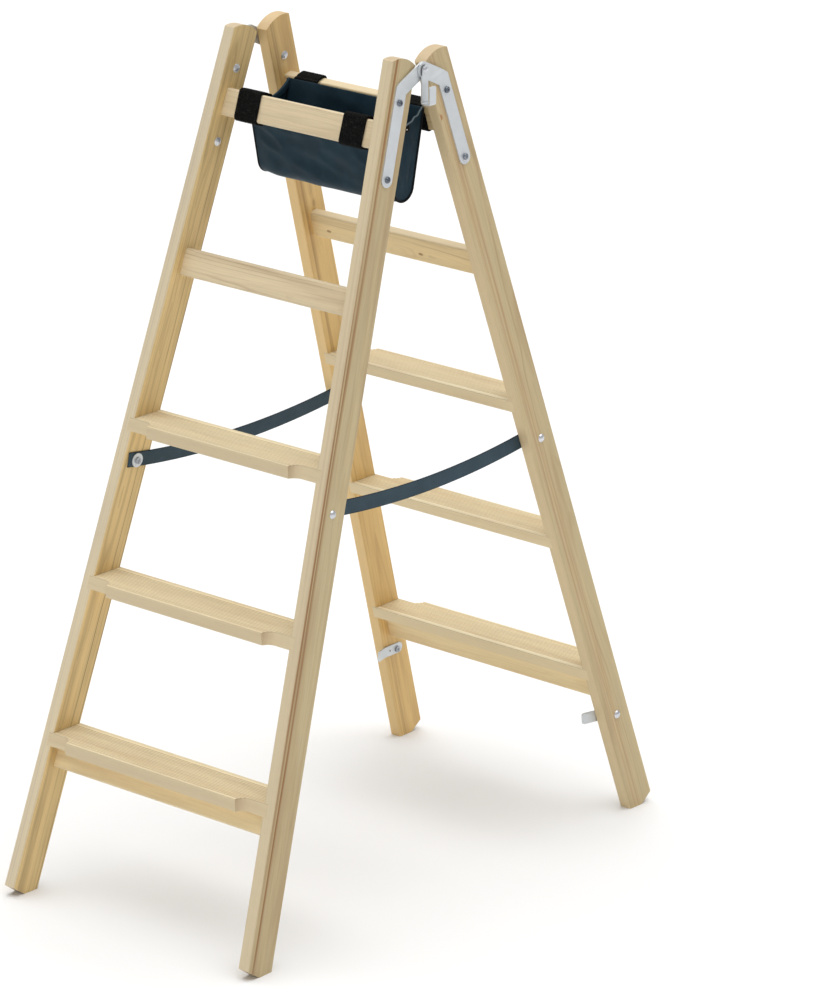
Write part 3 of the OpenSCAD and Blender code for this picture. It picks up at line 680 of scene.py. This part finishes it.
def skin(name, rows, material, wrap=False, caps=False, flip=False):
    """Quads over rows of points. wrap closes each row to a ring, and caps close a tube's two ends."""
    rows = np.asarray(rows, float)
    if wrap:
        rows = np.concatenate((rows, rows[:, :1]), axis=1)
    places = np.stack((along_rows(rows, 0), along_rows(rows, 1)), axis=2)
    m, n = rows.shape[:2]
    ring = n - 1 if wrap else n
    faces, maps = [], []
    for i in range(m - 1):
        for j in range(n - 1):
            corners = ((i, j), (i, j + 1), (i + 1, j + 1), (i + 1, j))
            if flip:
                corners = corners[::-1]
            faces.append([a * ring + b % ring for a, b in corners])
            maps += [places[a, b] for a, b in corners]
    if caps:
        for i, order in ((0, range(ring - 1, -1, -1)), (m - 1, range(ring))):
            faces.append([i * ring + j for j in order])
            maps += [places[i, j] for j in order]
    return make_piece(name, rows[:, :ring].reshape(-1, 3), faces, material, maps)


def ramp(value, start, over):
    """0 up to a start, 1 from a distance past it, and smooth between."""
    t = min(1.0, max(0.0, (value - start) / over))
    return t * t * (3 - 2 * t)


def unit(vectors):
    return vectors / np.linalg.norm(vectors, axis=-1, keepdims=True)


def sweep(name, path, sides, outline, material):
    """An outline drawn along a path; sides is the direction of the outline's first axis."""
    path = np.asarray(path, float)
    run = unit(np.gradient(path, axis=0))
    side = np.broadcast_to(np.asarray(sides, float), path.shape)
    side = unit(side - (side * run).sum(1, keepdims=True) * run)
    lift = np.cross(run, side)
    rows = path[:, None] + outline[None, :, :1] * side[:, None] + outline[None, :, 1:] * lift[:, None]
    return skin(name, rows, material, wrap=True, caps=True)


def circle(radius, count):
    """Points spaced evenly round a ring."""
    turns = np.arange(count) / count * math.tau
    return np.stack((np.cos(turns), np.sin(turns)), axis=1) * radius


def flat_outline(width, thickness, count, ribs=0, rib_h=0.0):
    """A flat strip's outline with round edges and shallow ribs on both faces."""
    r = thickness / 2
    across = np.linspace(r - width / 2, width / 2 - r, count)
    ripple = rib_h * np.abs(np.sin(across / width * math.pi * ribs))
    turns = np.linspace(-QUARTER_TURN, QUARTER_TURN, 7)[1:-1]
    right = np.stack((width / 2 - r + r * np.cos(turns), r * np.sin(turns)), axis=1)
    lower = np.stack((across, -r - ripple + ripple.min()), axis=1)
    upper = np.stack((across, r + ripple - ripple.min()), axis=1)[::-1]
    return np.concatenate((lower, right, upper, -right))


def soften(points, step, rounds):
    """A path spaced evenly along straight runs between points, with its corners then rounded off."""
    points = np.asarray(points, float)
    lengths = along_rows(points[:, None], 0)[:, 0]
    places = np.linspace(0, lengths[-1], max(2, int(round(lengths[-1] / step)) + 1))
    path = np.stack([np.interp(places, lengths, points[:, k]) for k in range(3)], axis=1)
    for _ in range(rounds):
        path[1:-1] = path[1:-1] * 0.5 + (path[:-2] + path[2:]) * 0.25
    return path


def freeze(piece):
    """Makes what the modifiers give the piece's own mesh."""
    graph = bpy.context.evaluated_depsgraph_get()
    mesh = bpy.data.meshes.new_from_object(piece.evaluated_get(graph), depsgraph=graph)
    piece.modifiers.clear()
    piece.data = mesh
    return piece


def thicken(piece, thickness):
    wall = piece.modifiers.new("cloth", "SOLIDIFY")
    wall.thickness = thickness
    wall.offset = -1
    return freeze(piece)


def mark_edges(piece, level):
    """Marks each point of a cloth piece with a level from 0 to 1, for its finish to read."""
    layer = piece.data.attributes.new(EDGE_MARK, "FLOAT", "POINT")
    layer.data.foreach_set("value", np.array([level(v.co) for v in piece.data.vertices], np.float32))


# stitches, pile and screws, by geometry nodes


def node_tool(name, inputs):
    return node_group(name, "Geometry", {**inputs, "Material": ["Material"]}, {"Geometry": ["Geometry"]})


def set_down(tree, given, out, points, rotation, shape):
    """Sets a shape on points, and ends a tree with one plain mesh in one finish."""
    placed = {"Points": points, "Instance": shape, "Rotation": rotation}
    made = wire(tree, "InstanceOnPoints", placed)
    for kind in ("RealizeInstances", "SetShadeSmooth"):
        made = wire(tree, kind, {"Geometry": made})
    made = wire(tree, "SetMaterial", {"Geometry": made, "Material": given["Material"]})
    feed(out["Geometry"], made)
    return tree


def turned(tree, rotation, seed, low, high):
    """A rotation followed by a turn by chance between two sets of angles."""
    limits = {"Min": low, "Max": high, "Seed": seed}
    chance = wire(tree, "FunctionNodeRandomValue", limits, data_type="FLOAT_VECTOR")
    both = {"Rotation": rotation, "Rotate By": chance}
    return wire(tree, "FunctionNodeRotateRotation", both, rotation_space="LOCAL")


def stitch_tool():
    """Stitches along the edges of a mesh."""
    tree, given, out = node_tool(
        "stitch_row", {"Geometry": ["Seam"], "Float": ["Pitch", "Stitch Length", "Thread"]}
    )
    seam = wire(tree, "MeshToCurve", {"Mesh": given["Seam"]})
    spacing = {"Curve": seam, "Length": given["Pitch"]}
    points = wires(add(tree, "CurveToPoints", spacing, mode="LENGTH"))
    ball = wire(tree, "MeshUVSphere", {"Segments": 6, "Rings": 5, "Radius": 0.5})
    sizes = {"X": given["Thread"], "Y": given["Thread"], "Z": given["Stitch Length"]}
    size = wire(tree, "ShaderNodeCombineXYZ", sizes)
    shape = wire(tree, "Transform", {"Geometry": ball, "Scale": size})
    return set_down(tree, given, out, points["Points"], points["Rotation"], shape)


def pile_tool():
    """Short leaning fibres over a tape's faces."""
    tree, given, out = node_tool(
        "tape_pile",
        {"Geometry": ["Tape"], "Float": ["Fibres Per Area", "Fibre Length", "Fibre"], "Int": ["Seed"]},
    )
    spread = {"Mesh": given["Tape"], "Density": given["Fibres Per Area"], "Seed": given["Seed"]}
    points = wires(add(tree, "DistributePointsOnFaces", spread))
    sizes = {"Radius Top": 0.0, "Radius Bottom": given["Fibre"], "Depth": given["Fibre Length"]}
    fibre = wire(tree, "MeshCone", {"Vertices": 3, **sizes}, fill_type="NONE")
    low, high = (-FIBRE_LEAN, -FIBRE_LEAN, 0.0), (FIBRE_LEAN, FIBRE_LEAN, math.tau)
    leaning = turned(tree, points["Rotation"], given["Seed"], low, high)
    return set_down(tree, given, out, points["Points"], leaning, fibre)


def screw_tool():
    """Screws set on points, each along the point's own direction and turned by chance."""
    tree, given, out = node_tool("set_screws", {"Geometry": ["Places"], "Object": ["Screw"], "Int": ["Seed"]})
    screw = wire(tree, "ObjectInfo", {"Object": given["Screw"]}, "Geometry")
    points = wire(tree, "MeshToPoints", {"Mesh": given["Places"]})
    way = wire(tree, "InputNamedAttribute", {"Name": "aim"}, "Attribute", data_type="FLOAT_VECTOR")
    stand = wire(tree, "FunctionNodeAlignRotationToVector", {"Vector": way}, axis="Z")
    rotation = turned(tree, stand, given["Seed"], (0, 0, 0), (0, 0, QUARTER_TURN))
    return set_down(tree, given, out, points, rotation, screw)


STITCH_ROW = stitch_tool()
TAPE_PILE = pile_tool()
SET_SCREWS = screw_tool()


def run_tool(name, mesh, tree, **values):
    """A piece that a geometry tool makes from a mesh."""
    piece = place_new(name, mesh)
    tool = piece.modifiers.new(tree.name, "NODES")
    tool.node_group = tree
    values = spaced(values)
    for item in tree.interface.items_tree:
        if item.in_out == "INPUT" and item.name in values:
            tool[item.identifier] = values[item.name]
    return freeze(piece)


def stitch(name, rows):
    """One piece of stitches along several lines of points."""
    edges, start = [], 0
    for row in rows:
        edges += [(start + k, start + k + 1) for k in range(len(row) - 1)]
        start += len(row)
    return run_tool(
        name, plain_mesh(name, np.concatenate(rows), edges), STITCH_ROW,
        Pitch=0.0042, Stitch_Length=0.0030, Thread=0.0008, Material=THREAD_FINISH,
    )


# hinge screws


def in_slot(across, along):
    """How deep in one slot of a screw's cross recess a point is, 0 to 1."""
    inside = ramp(RECESS_HALF_W - abs(across), 0, RECESS_SIDE)
    return inside * ramp(RECESS_HALF_L - abs(along), 0, RECESS_END)


def make_screw():
    """One pan-head screw with a cross recess, its head's seat at the origin."""
    outline = [
        (SCREW_TIP_R, -SCREW_SHANK_L), (SCREW_SHANK_R, SCREW_TIP_L - SCREW_SHANK_L), (SCREW_SHANK_R, 0.0),
        (SCREW_HEAD_R - HEAD_LIP, 0.0), (SCREW_HEAD_R, HEAD_LIP),
    ]
    for a in np.linspace(0, QUARTER_TURN, EDGE_RINGS)[1:-2]:
        across, up = math.cos(a) ** HEAD_ROUNDING, math.sin(a) ** HEAD_ROUNDING
        outline.append((SCREW_HEAD_R * across, SCREW_HEAD_H * up))
    rows = [[(u, v, z) for u, v in circle(r, SCREW_SIDES)] for r, z in outline]
    crown_r, crown_z = outline[-1]
    for r in np.linspace(crown_r, CROWN_END_R, CROWN_RINGS)[1:]:
        crown = crown_z + (SCREW_HEAD_H - crown_z) * (1 - (r / crown_r) ** 2)
        row = []
        for u, v in circle(r, SCREW_SIDES):
            row.append((u, v, crown - RECESS_DEPTH * max(in_slot(u, v), in_slot(v, u))))
        rows.append(row)
    return skin("screw", rows, SCREW_FINISH, wrap=True, caps=True)


def make_screws():
    screw = make_screw()
    for turn, (end, rear) in enumerate(SECTIONS):
        places, aims = [], []
        up = section_way(0, -1, rear)
        for sign in SIDES.values():
            out = Vector((sign * math.cos(TILT), 0, 0)) + up * math.sin(TILT)
            for drop in SCREW_DROPS:
                places.append(on_section(sign * (TOP_HALF + SLOPE * drop), MID_N, drop, rear) + out * ARM_T)
                aims.append(out)
        name = f"{end}_screw_set"
        mesh = plain_mesh(name, places)
        mesh.attributes.new("aim", "FLOAT_VECTOR", "POINT").data.foreach_set("vector", np.ravel(aims))
        piece = run_tool(name, mesh, SET_SCREWS, Screw=screw, Seed=turn, Material=SCREW_FINISH)
        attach(piece, f"{end}_section")
        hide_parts(f"{end}_hinge_screws")
    bpy.data.objects.remove(screw)


# spreader straps


def strap_line(y):
    """Height of the strap's middle line at y, straight past its bolts."""
    past = max(0.0, abs(y) - STRAP_Y)
    share = min(1.0, (y / STRAP_Y) ** 2)
    return STRAP_Z - STRAP_SAG * (1 - share) + 2 * STRAP_SAG / STRAP_Y * past


def dark_edge_mark(p):
    """How far into one of the strap's darker edges a point is."""
    return ramp(abs(p[2] - strap_line(p[1])), STRAP_W / 2 - DARK_EDGE_W, DARK_EDGE_W)


def make_strap(hand, sign):
    ends = STRAP_Y + STRAP_TAIL
    inner = TOP_HALF + SLOPE * STRAP_DROP - STILE_T / math.cos(TILT)
    points = []
    for y in np.linspace(-ends, ends, STRAP_ROWS):
        z = strap_line(y)
        wall = inner + SLOPE * SIN * (max(abs(y), STRAP_EDGE_Y) - STRAP_Y)
        wall -= SLOPE * COS * (z - STRAP_Z)
        points.append((sign * (wall - STRAP_WALL_GAP - STRAP_T / 2), y, z))
    up = (-sign * SLOPE * COS, 0, 1)
    outline = flat_outline(STRAP_W, STRAP_T * 0.86, count=67, ribs=11, rib_h=STRAP_T * 0.07)
    strap = sweep(f"{hand}_strap_webbing", points, up, outline, WEBBING_FINISH)
    mark_edges(strap, dark_edge_mark)
    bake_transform(strap)
    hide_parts(f"{hand}_spreader_strap")


# tool bag


def hem_turn(gap):
    """A hem from its edge up to the fold and over it: how far inside the panel, and how far above its rim."""
    r = gap / 2
    turns = np.linspace(0, math.pi, FOLD_ROWS)[1:-1]
    flat = [(gap, r - d) for d in np.linspace(HEM_H, r, HEM_ROWS)]
    return flat + [(r * (1 + math.cos(a)), r * math.sin(a)) for a in turns]


def bag_profile():
    """Front half of the bag's section from its hem to the middle of its bottom, and the rows in the hem."""
    far = np.array((-BAG_RIM_HALF, BAG_RIM_Z - BAG_ROUND_Z))
    flare = math.acos(BAG_BOTTOM_R / np.linalg.norm(far)) - math.atan2(far[1], -far[0])
    touch = BAG_BOTTOM_R * np.array((-math.cos(flare), -math.sin(flare)))
    rise = unit(far - touch)
    out = np.array((-rise[1], rise[0]))
    rim_d = HEM_GAP / 2
    hem = [far + out * inside + rise * (above - rim_d) for inside, above in hem_turn(HEM_GAP)]
    wall = [far - rise * d for d in np.linspace(rim_d, np.linalg.norm(far - touch), WALL_ROWS)]
    lean = np.linspace(flare, QUARTER_TURN, ARC_ROWS)[1:]
    arc = [BAG_BOTTOM_R * np.array((-math.cos(a), -math.sin(a))) for a in lean]
    points = np.array(hem + wall + arc)
    points[:, 1] += BAG_ROUND_Z
    return points, len(hem)


def crumple(x, y, z):
    """How far the cloth stands out of its drawn shape, for soft broad folds that slant down."""
    broad = noise.noise(Vector((x * 11 + z * 5 + 3, y * 8, z * 31 + x * 6)))
    crease = 1 - abs(noise.noise(Vector((x * 13 + z * 6, y * 9 + 5, z * 27 + x * 7))))
    return BROAD_FOLD * broad + SHARP_FOLD * crease**2


def bag_wrap_rows():
    """The long panel, from the front hem round the bottom to the rear hem, as rows along the profile."""
    half, hem_rows = bag_profile()
    whole = np.concatenate((half, (half * (-1, 1))[-2::-1]))
    rise = (whole[:, 1] - whole[:, 1].min()) / np.ptp(whole[:, 1])
    whole[: len(half), 1] -= FRONT_RIM_DROP * rise[: len(half)]
    run = unit(np.gradient(whole, axis=0))
    out = np.stack((run[:, 1], -run[:, 0]), axis=1)
    rows = np.zeros((len(whole), WRAP_COLUMNS, 3))
    for i, (y, z) in enumerate(whole):
        depth = BAG_RIM_Z - z
        hem = min(i, len(whole) - 1 - i) < hem_rows
        loose = 0.0 if hem else ramp(depth, HEM_H, RIM_HOLD)
        loose *= 1 - TIGHT_SHARE * ramp(depth, *TIGHT_RAMP)
        sag = BOTTOM_SAG * ramp(depth, *SAG_RAMP)
        for j, x in enumerate(np.linspace(-BAG_HALF_W, BAG_HALF_W, WRAP_COLUMNS)):
            free = ramp(BAG_HALF_W - abs(x), 0, END_HOLD)
            push = free * loose * (crumple(x, y, z) + BELLY * math.cos(math.pi * x / BAG_HALF_W / 2))
            rows[i, j] = (x, y + out[i, 0] * push, z + out[i, 1] * push - free * sag)
    return rows, hem_rows


def rim_drop(s, sign):
    """How far an end panel's rim hangs at a share s of its half width: a sag with one wrinkle in it."""
    off = s - WRINKLE_AT
    wrinkle = math.sin(math.tau * off / WRINKLE_W) * math.exp(-((off / WRINKLE_REACH) ** 2))
    return END_SAG * (1 - s * s) + RIM_WRINKLES[sign] * wrinkle


def rim_wear_and_highlight(p, sign):
    """How pale an end panel is at a point: a line along the outer side of its rim, partly wear and partly a
    painted highlight on the hem's fold.
    """
    share = p[1] / BAG_RIM_HALF
    rim_z = BAG_RIM_Z - FRONT_RIM_DROP * (1 - share) / 2 - rim_drop(share, sign)
    above = ramp(p[2] - rim_z, *WEAR_AND_HIGHLIGHT_UP_RAMP)
    return RIM_WEAR_AND_HIGHLIGHT[sign] * above * ramp(abs(p[0]) - BAG_HALF_W, *WEAR_AND_HIGHLIGHT_OUT_RAMP)


def bag_end_rows(wrap, hem_rows, sign):
    """An end panel between the long panel's two edges, with a sagging rim and its own hem."""
    edge = wrap[:, -1 if sign > 0 else 0]
    rows = []
    for i in range(hem_rows, len(edge) // 2 + 1):
        front, rear = edge[i], edge[-1 - i]
        depth = BAG_RIM_Z - rear[2]
        slack = (1 - min(1.0, depth / END_SAG_DEPTH)) ** END_SAG_FADE
        loose = ramp(depth, 0, RIM_HOLD) * (1 - ramp(depth, *END_TIGHT_RAMP))
        row = []
        for s in np.linspace(-1, 1, END_COLUMNS):
            x, y, z = front * (1 - s) / 2 + rear * (1 + s) / 2
            ripple = END_RIPPLE * noise.noise(Vector((s * 3.1, depth * 22 + sign * 4, 1.7)))
            push = (1 - s * s) * loose * (END_BELLY + ripple)
            row.append((x + sign * push, y, z - slack * rim_drop(s, sign)))
        rows.append(row)
    rows = np.array(rows)
    hem = [rows[0] + (-sign * inside, 0, above) for inside, above in hem_turn(END_HEM_GAP)]
    return np.concatenate((hem, rows)), len(hem)


def bag_bend(piece):
    """Bakes a piece of the bag's placing into its own mesh."""
    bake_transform(piece)
    return piece


def lifted(rows, i, j, out):
    """A point just off the cloth of a grid, on its outer side."""
    a = rows[min(i + 1, len(rows) - 1), j] - rows[max(i - 1, 0), j]
    b = rows[i, min(j + 1, rows.shape[1] - 1)] - rows[i, max(j - 1, 0)]
    n = unit(np.cross(a, b))
    return rows[i, j] + (n if np.dot(n, out) > 0 else -n) * STITCH_LIFT


def make_tab(hand, sign, panel):
    """A short riveted tab in the middle of an end panel's rim."""
    middle = panel.shape[1] // 2
    patch = panel[:TAB_ROWS, middle - TAB_COLUMNS : middle + TAB_COLUMNS + 1]
    patch = patch + (sign * (TAB_T + TAB_GAP), 0, 0)
    tab = skin(f"bag_{hand}_tab", patch, PIPING_FINISH, flip=sign < 0)
    bag_bend(thicken(tab, TAB_T))
    points, faces = [], []
    for column in (TAB_COLUMNS - RIVET_COLUMNS, TAB_COLUMNS + RIVET_COLUMNS):
        centre, start = patch[TAB_ROWS // 2, column], len(points)
        for lean in np.linspace(0, QUARTER_TURN, RIVET_RINGS):
            out, r = RIVET_H * math.sin(lean), RIVET_R * math.cos(lean)
            for u, v in circle(r, RIVET_SIDES):
                points.append(centre + (sign * out, sign * u, v))
        for low in range(start, len(points) - RIVET_SIDES, RIVET_SIDES):
            high = low + RIVET_SIDES
            for k in range(RIVET_SIDES):
                after = (k + 1) % RIVET_SIDES
                faces.append((low + k, low + after, high + after, high + k))
    rivets = make_piece(f"bag_{hand}_rivets", points, faces, RIVET_FINISH)
    bag_bend(rivets)
    return tab, rivets


def make_bag():
    wrap, hem_rows = bag_wrap_rows()
    body = thicken(skin("bag_long_panel", wrap, BAG_CLOTH_FINISH), BAG_CLOTH)
    bag_bend(body)
    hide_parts("tool_bag")
    between_hems = range(hem_rows, len(wrap) - hem_rows)
    seams = []
    for i, out in ((SEAM_LINE, -1), (len(wrap) - 1 - SEAM_LINE, 1)):
        seams.append([lifted(wrap, i, j, (0, out, 0)) for j in range(WRAP_COLUMNS)])
    for hand, sign in SIDES.items():
        rows, hem_count = bag_end_rows(wrap, hem_rows, sign)
        end = thicken(skin(f"bag_{hand}_end", rows, BAG_CLOTH_FINISH, flip=sign < 0), BAG_CLOTH)
        mark_edges(end, lambda p: rim_wear_and_highlight(p, sign))
        bag_bend(end)
        column, seam = (-1, -1 - SEAM_LINE) if sign > 0 else (0, SEAM_LINE)
        edge = wrap[between_hems, column] + (sign * PIPING_R * PIPING_OUT, 0, 0)
        piping = sweep(f"bag_{hand}_piping", edge, (1, 0, 0), circle(PIPING_R, count=10), PIPING_FINISH)
        bag_bend(piping)
        ways = wrap[:, seam] * (0, 1, 1) - (0, 0, BAG_MIDDLE_Z)
        seams.append([lifted(wrap, i, seam, ways[i]) for i in between_hems])
        seams.append([lifted(rows, SEAM_LINE, j, (-sign, 0, 0)) for j in range(END_COLUMNS)])
        tab, rivets = make_tab(hand, sign, rows[hem_count:])
    stitches = bag_bend(stitch("bag_stitches", seams))


# bag loops


def loop_path(rear):
    """Middle line of a loop round the top rung, from the bag's rim over the rung and back under it."""
    grow = LOOP_GAP + LOOP_T / 2
    r = RUNG_R + grow
    n_in, n_out = MID_N - RUNG_T / 2 - grow + r, MID_N + RUNG_T / 2 + grow - r
    s_top = TOP_RUNG_DROP - RUNG_H / 2 - grow - LOOP_SLACK + r
    s_low = TOP_RUNG_DROP + RUNG_H / 2 + grow - r

    def corner(n, s, start):
        turns = np.radians(np.linspace(start, start - 90, 7))
        return [(n + r * math.cos(a), s - r * math.sin(a)) for a in turns]

    tip_y, tip_z = BAG_RIM_HALF + HEM_GAP + LOOP_T / 2 + LOOP_BAG_GAP, BAG_RIM_Z - PIN_H
    tip_n, tip_s = tip_y * COS + tip_z * SIN, tip_y * SIN - tip_z * COS
    start, finish = ([(tip_n + n, tip_s + s) for n, s in places] for places in (LOOP_START, LOOP_FINISH))
    over = corner(n_in, s_top, 180)[3:] + corner(n_out, s_top, 90)
    under = corner(n_out, s_low, 0) + corner(n_in, s_low, 270)[:5]
    return [on_section(0, n, s, rear) for n, s in start + over + under + finish]


def make_loops():
    low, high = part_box("front_right_bag_loop")
    inner = (low[0] + high[0]) / 2
    outline = flat_outline(LOOP_W, LOOP_T, count=16)
    turn = 0
    for end, rear in SECTIONS:
        path = soften(loop_path(rear), step=0.0012, rounds=3)
        for hand, sign in SIDES.items():
            turn += 1
            middle = path + (sign * inner, 0, 0)
            band = sweep(f"{end}_{hand}_loop_band", middle, (1, 0, 0), outline, TAPE_FINISH)
            pile = run_tool(
                f"{end}_{hand}_loop_pile", band.data.copy(), TAPE_PILE, Seed=turn, Material=TAPE_FINISH,
                Fibres_Per_Area=5.0e5, Fibre_Length=0.0012, Fibre=0.00011,
            )
            for piece in (band, pile):
                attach(piece, f"{end}_section")
            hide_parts(f"{end}_{hand}_bag_loop")


# stage

FLOOR_SIZE, FLOOR_DARK, FLOOR_LIGHT = 200, (0.80, 0.80, 0.80, 1), (0.82, 0.82, 0.82, 1)
CAMERA_PLACE = Vector((5.872, -6.692, 3.665))
CAMERA_TURNS = [math.radians(a) for a in (40.377, 18.737, 0.313)]
FOCAL_PIXELS, PHOTO_H, SENSOR_W = 5449.4, 1000, 36


def make_stage():
    bpy.ops.mesh.primitive_plane_add(size=FLOOR_SIZE)
    floor = bpy.context.object
    floor.name = "floor"
    material, tree = new_material("pale_floor")
    place, _ = surface(tree)
    cloud = mottle(place, (0.6, 0.6, 0.6))
    tone, level = mix(cloud, FLOOR_DARK, FLOOR_LIGHT), remap(cloud, 0.2, 0.8, 0.7, 0.8)
    floor.data.materials.append(finish(material, Specular_IOR_Level=0.2, Base_Color=tone, Roughness=level))


def add_light(name, kind, direction, place=(0, 0, 0), **settings):
    lamp = bpy.data.lights.new(name, kind)
    for key, value in settings.items():
        setattr(lamp, key, value)
    holder = place_new(name, lamp)
    holder.location = place
    holder.rotation_euler = Vector(direction).to_track_quat("-Z", "Y").to_euler()
    return holder


def make_lights():
    """A pale room under one broad overhead light, with a weaker one low in front."""
    world = bpy.data.worlds.new("studio")
    bpy.context.scene.world = world
    world.use_nodes = True
    back = world.node_tree.nodes["Background"].inputs
    feed(back["Color"], (1, 1, 1, 1))
    feed(back["Strength"], 0.26)
    add_light("overhead", "SUN", (0.0, -0.08, -1), angle=math.radians(80), energy=3.45)
    fill = add_light("front_fill", "AREA", (-0.04, 1, -0.08), (0.3, -7.0, 1.3), size=4, energy=70)
    fill.visible_camera = False


def make_camera():
    """The photograph's own place: a long lens from the front right, a little above."""
    yaw, pitch, roll = CAMERA_TURNS
    ahead = Vector((-math.sin(yaw) * math.cos(pitch), math.cos(yaw) * math.cos(pitch), -math.sin(pitch)))
    level = Vector((math.cos(yaw), math.sin(yaw), 0))
    above = level.cross(ahead)
    right = math.cos(roll) * level + math.sin(roll) * above
    up = math.cos(roll) * above - math.sin(roll) * level
    lens = bpy.data.cameras.new("camera")
    lens.sensor_width = SENSOR_W
    lens.lens = FOCAL_PIXELS / PHOTO_H * SENSOR_W
    lens.clip_end = FLOOR_SIZE
    holder = place_new("camera", lens)
    turn = Matrix((right, up, -ahead)).transposed()
    holder.matrix_world = Matrix.Translation(CAMERA_PLACE) @ turn.to_4x4()
    bpy.context.scene.camera = holder


bpy.context.scene.view_settings.view_transform = "Standard"
make_camera()
dress_stiles()
dress_cross_pieces()
dress_steel()
make_screws()
for side in SIDES.items():
    make_strap(*side)
make_loops()
make_bag()
make_stage()
make_lights()
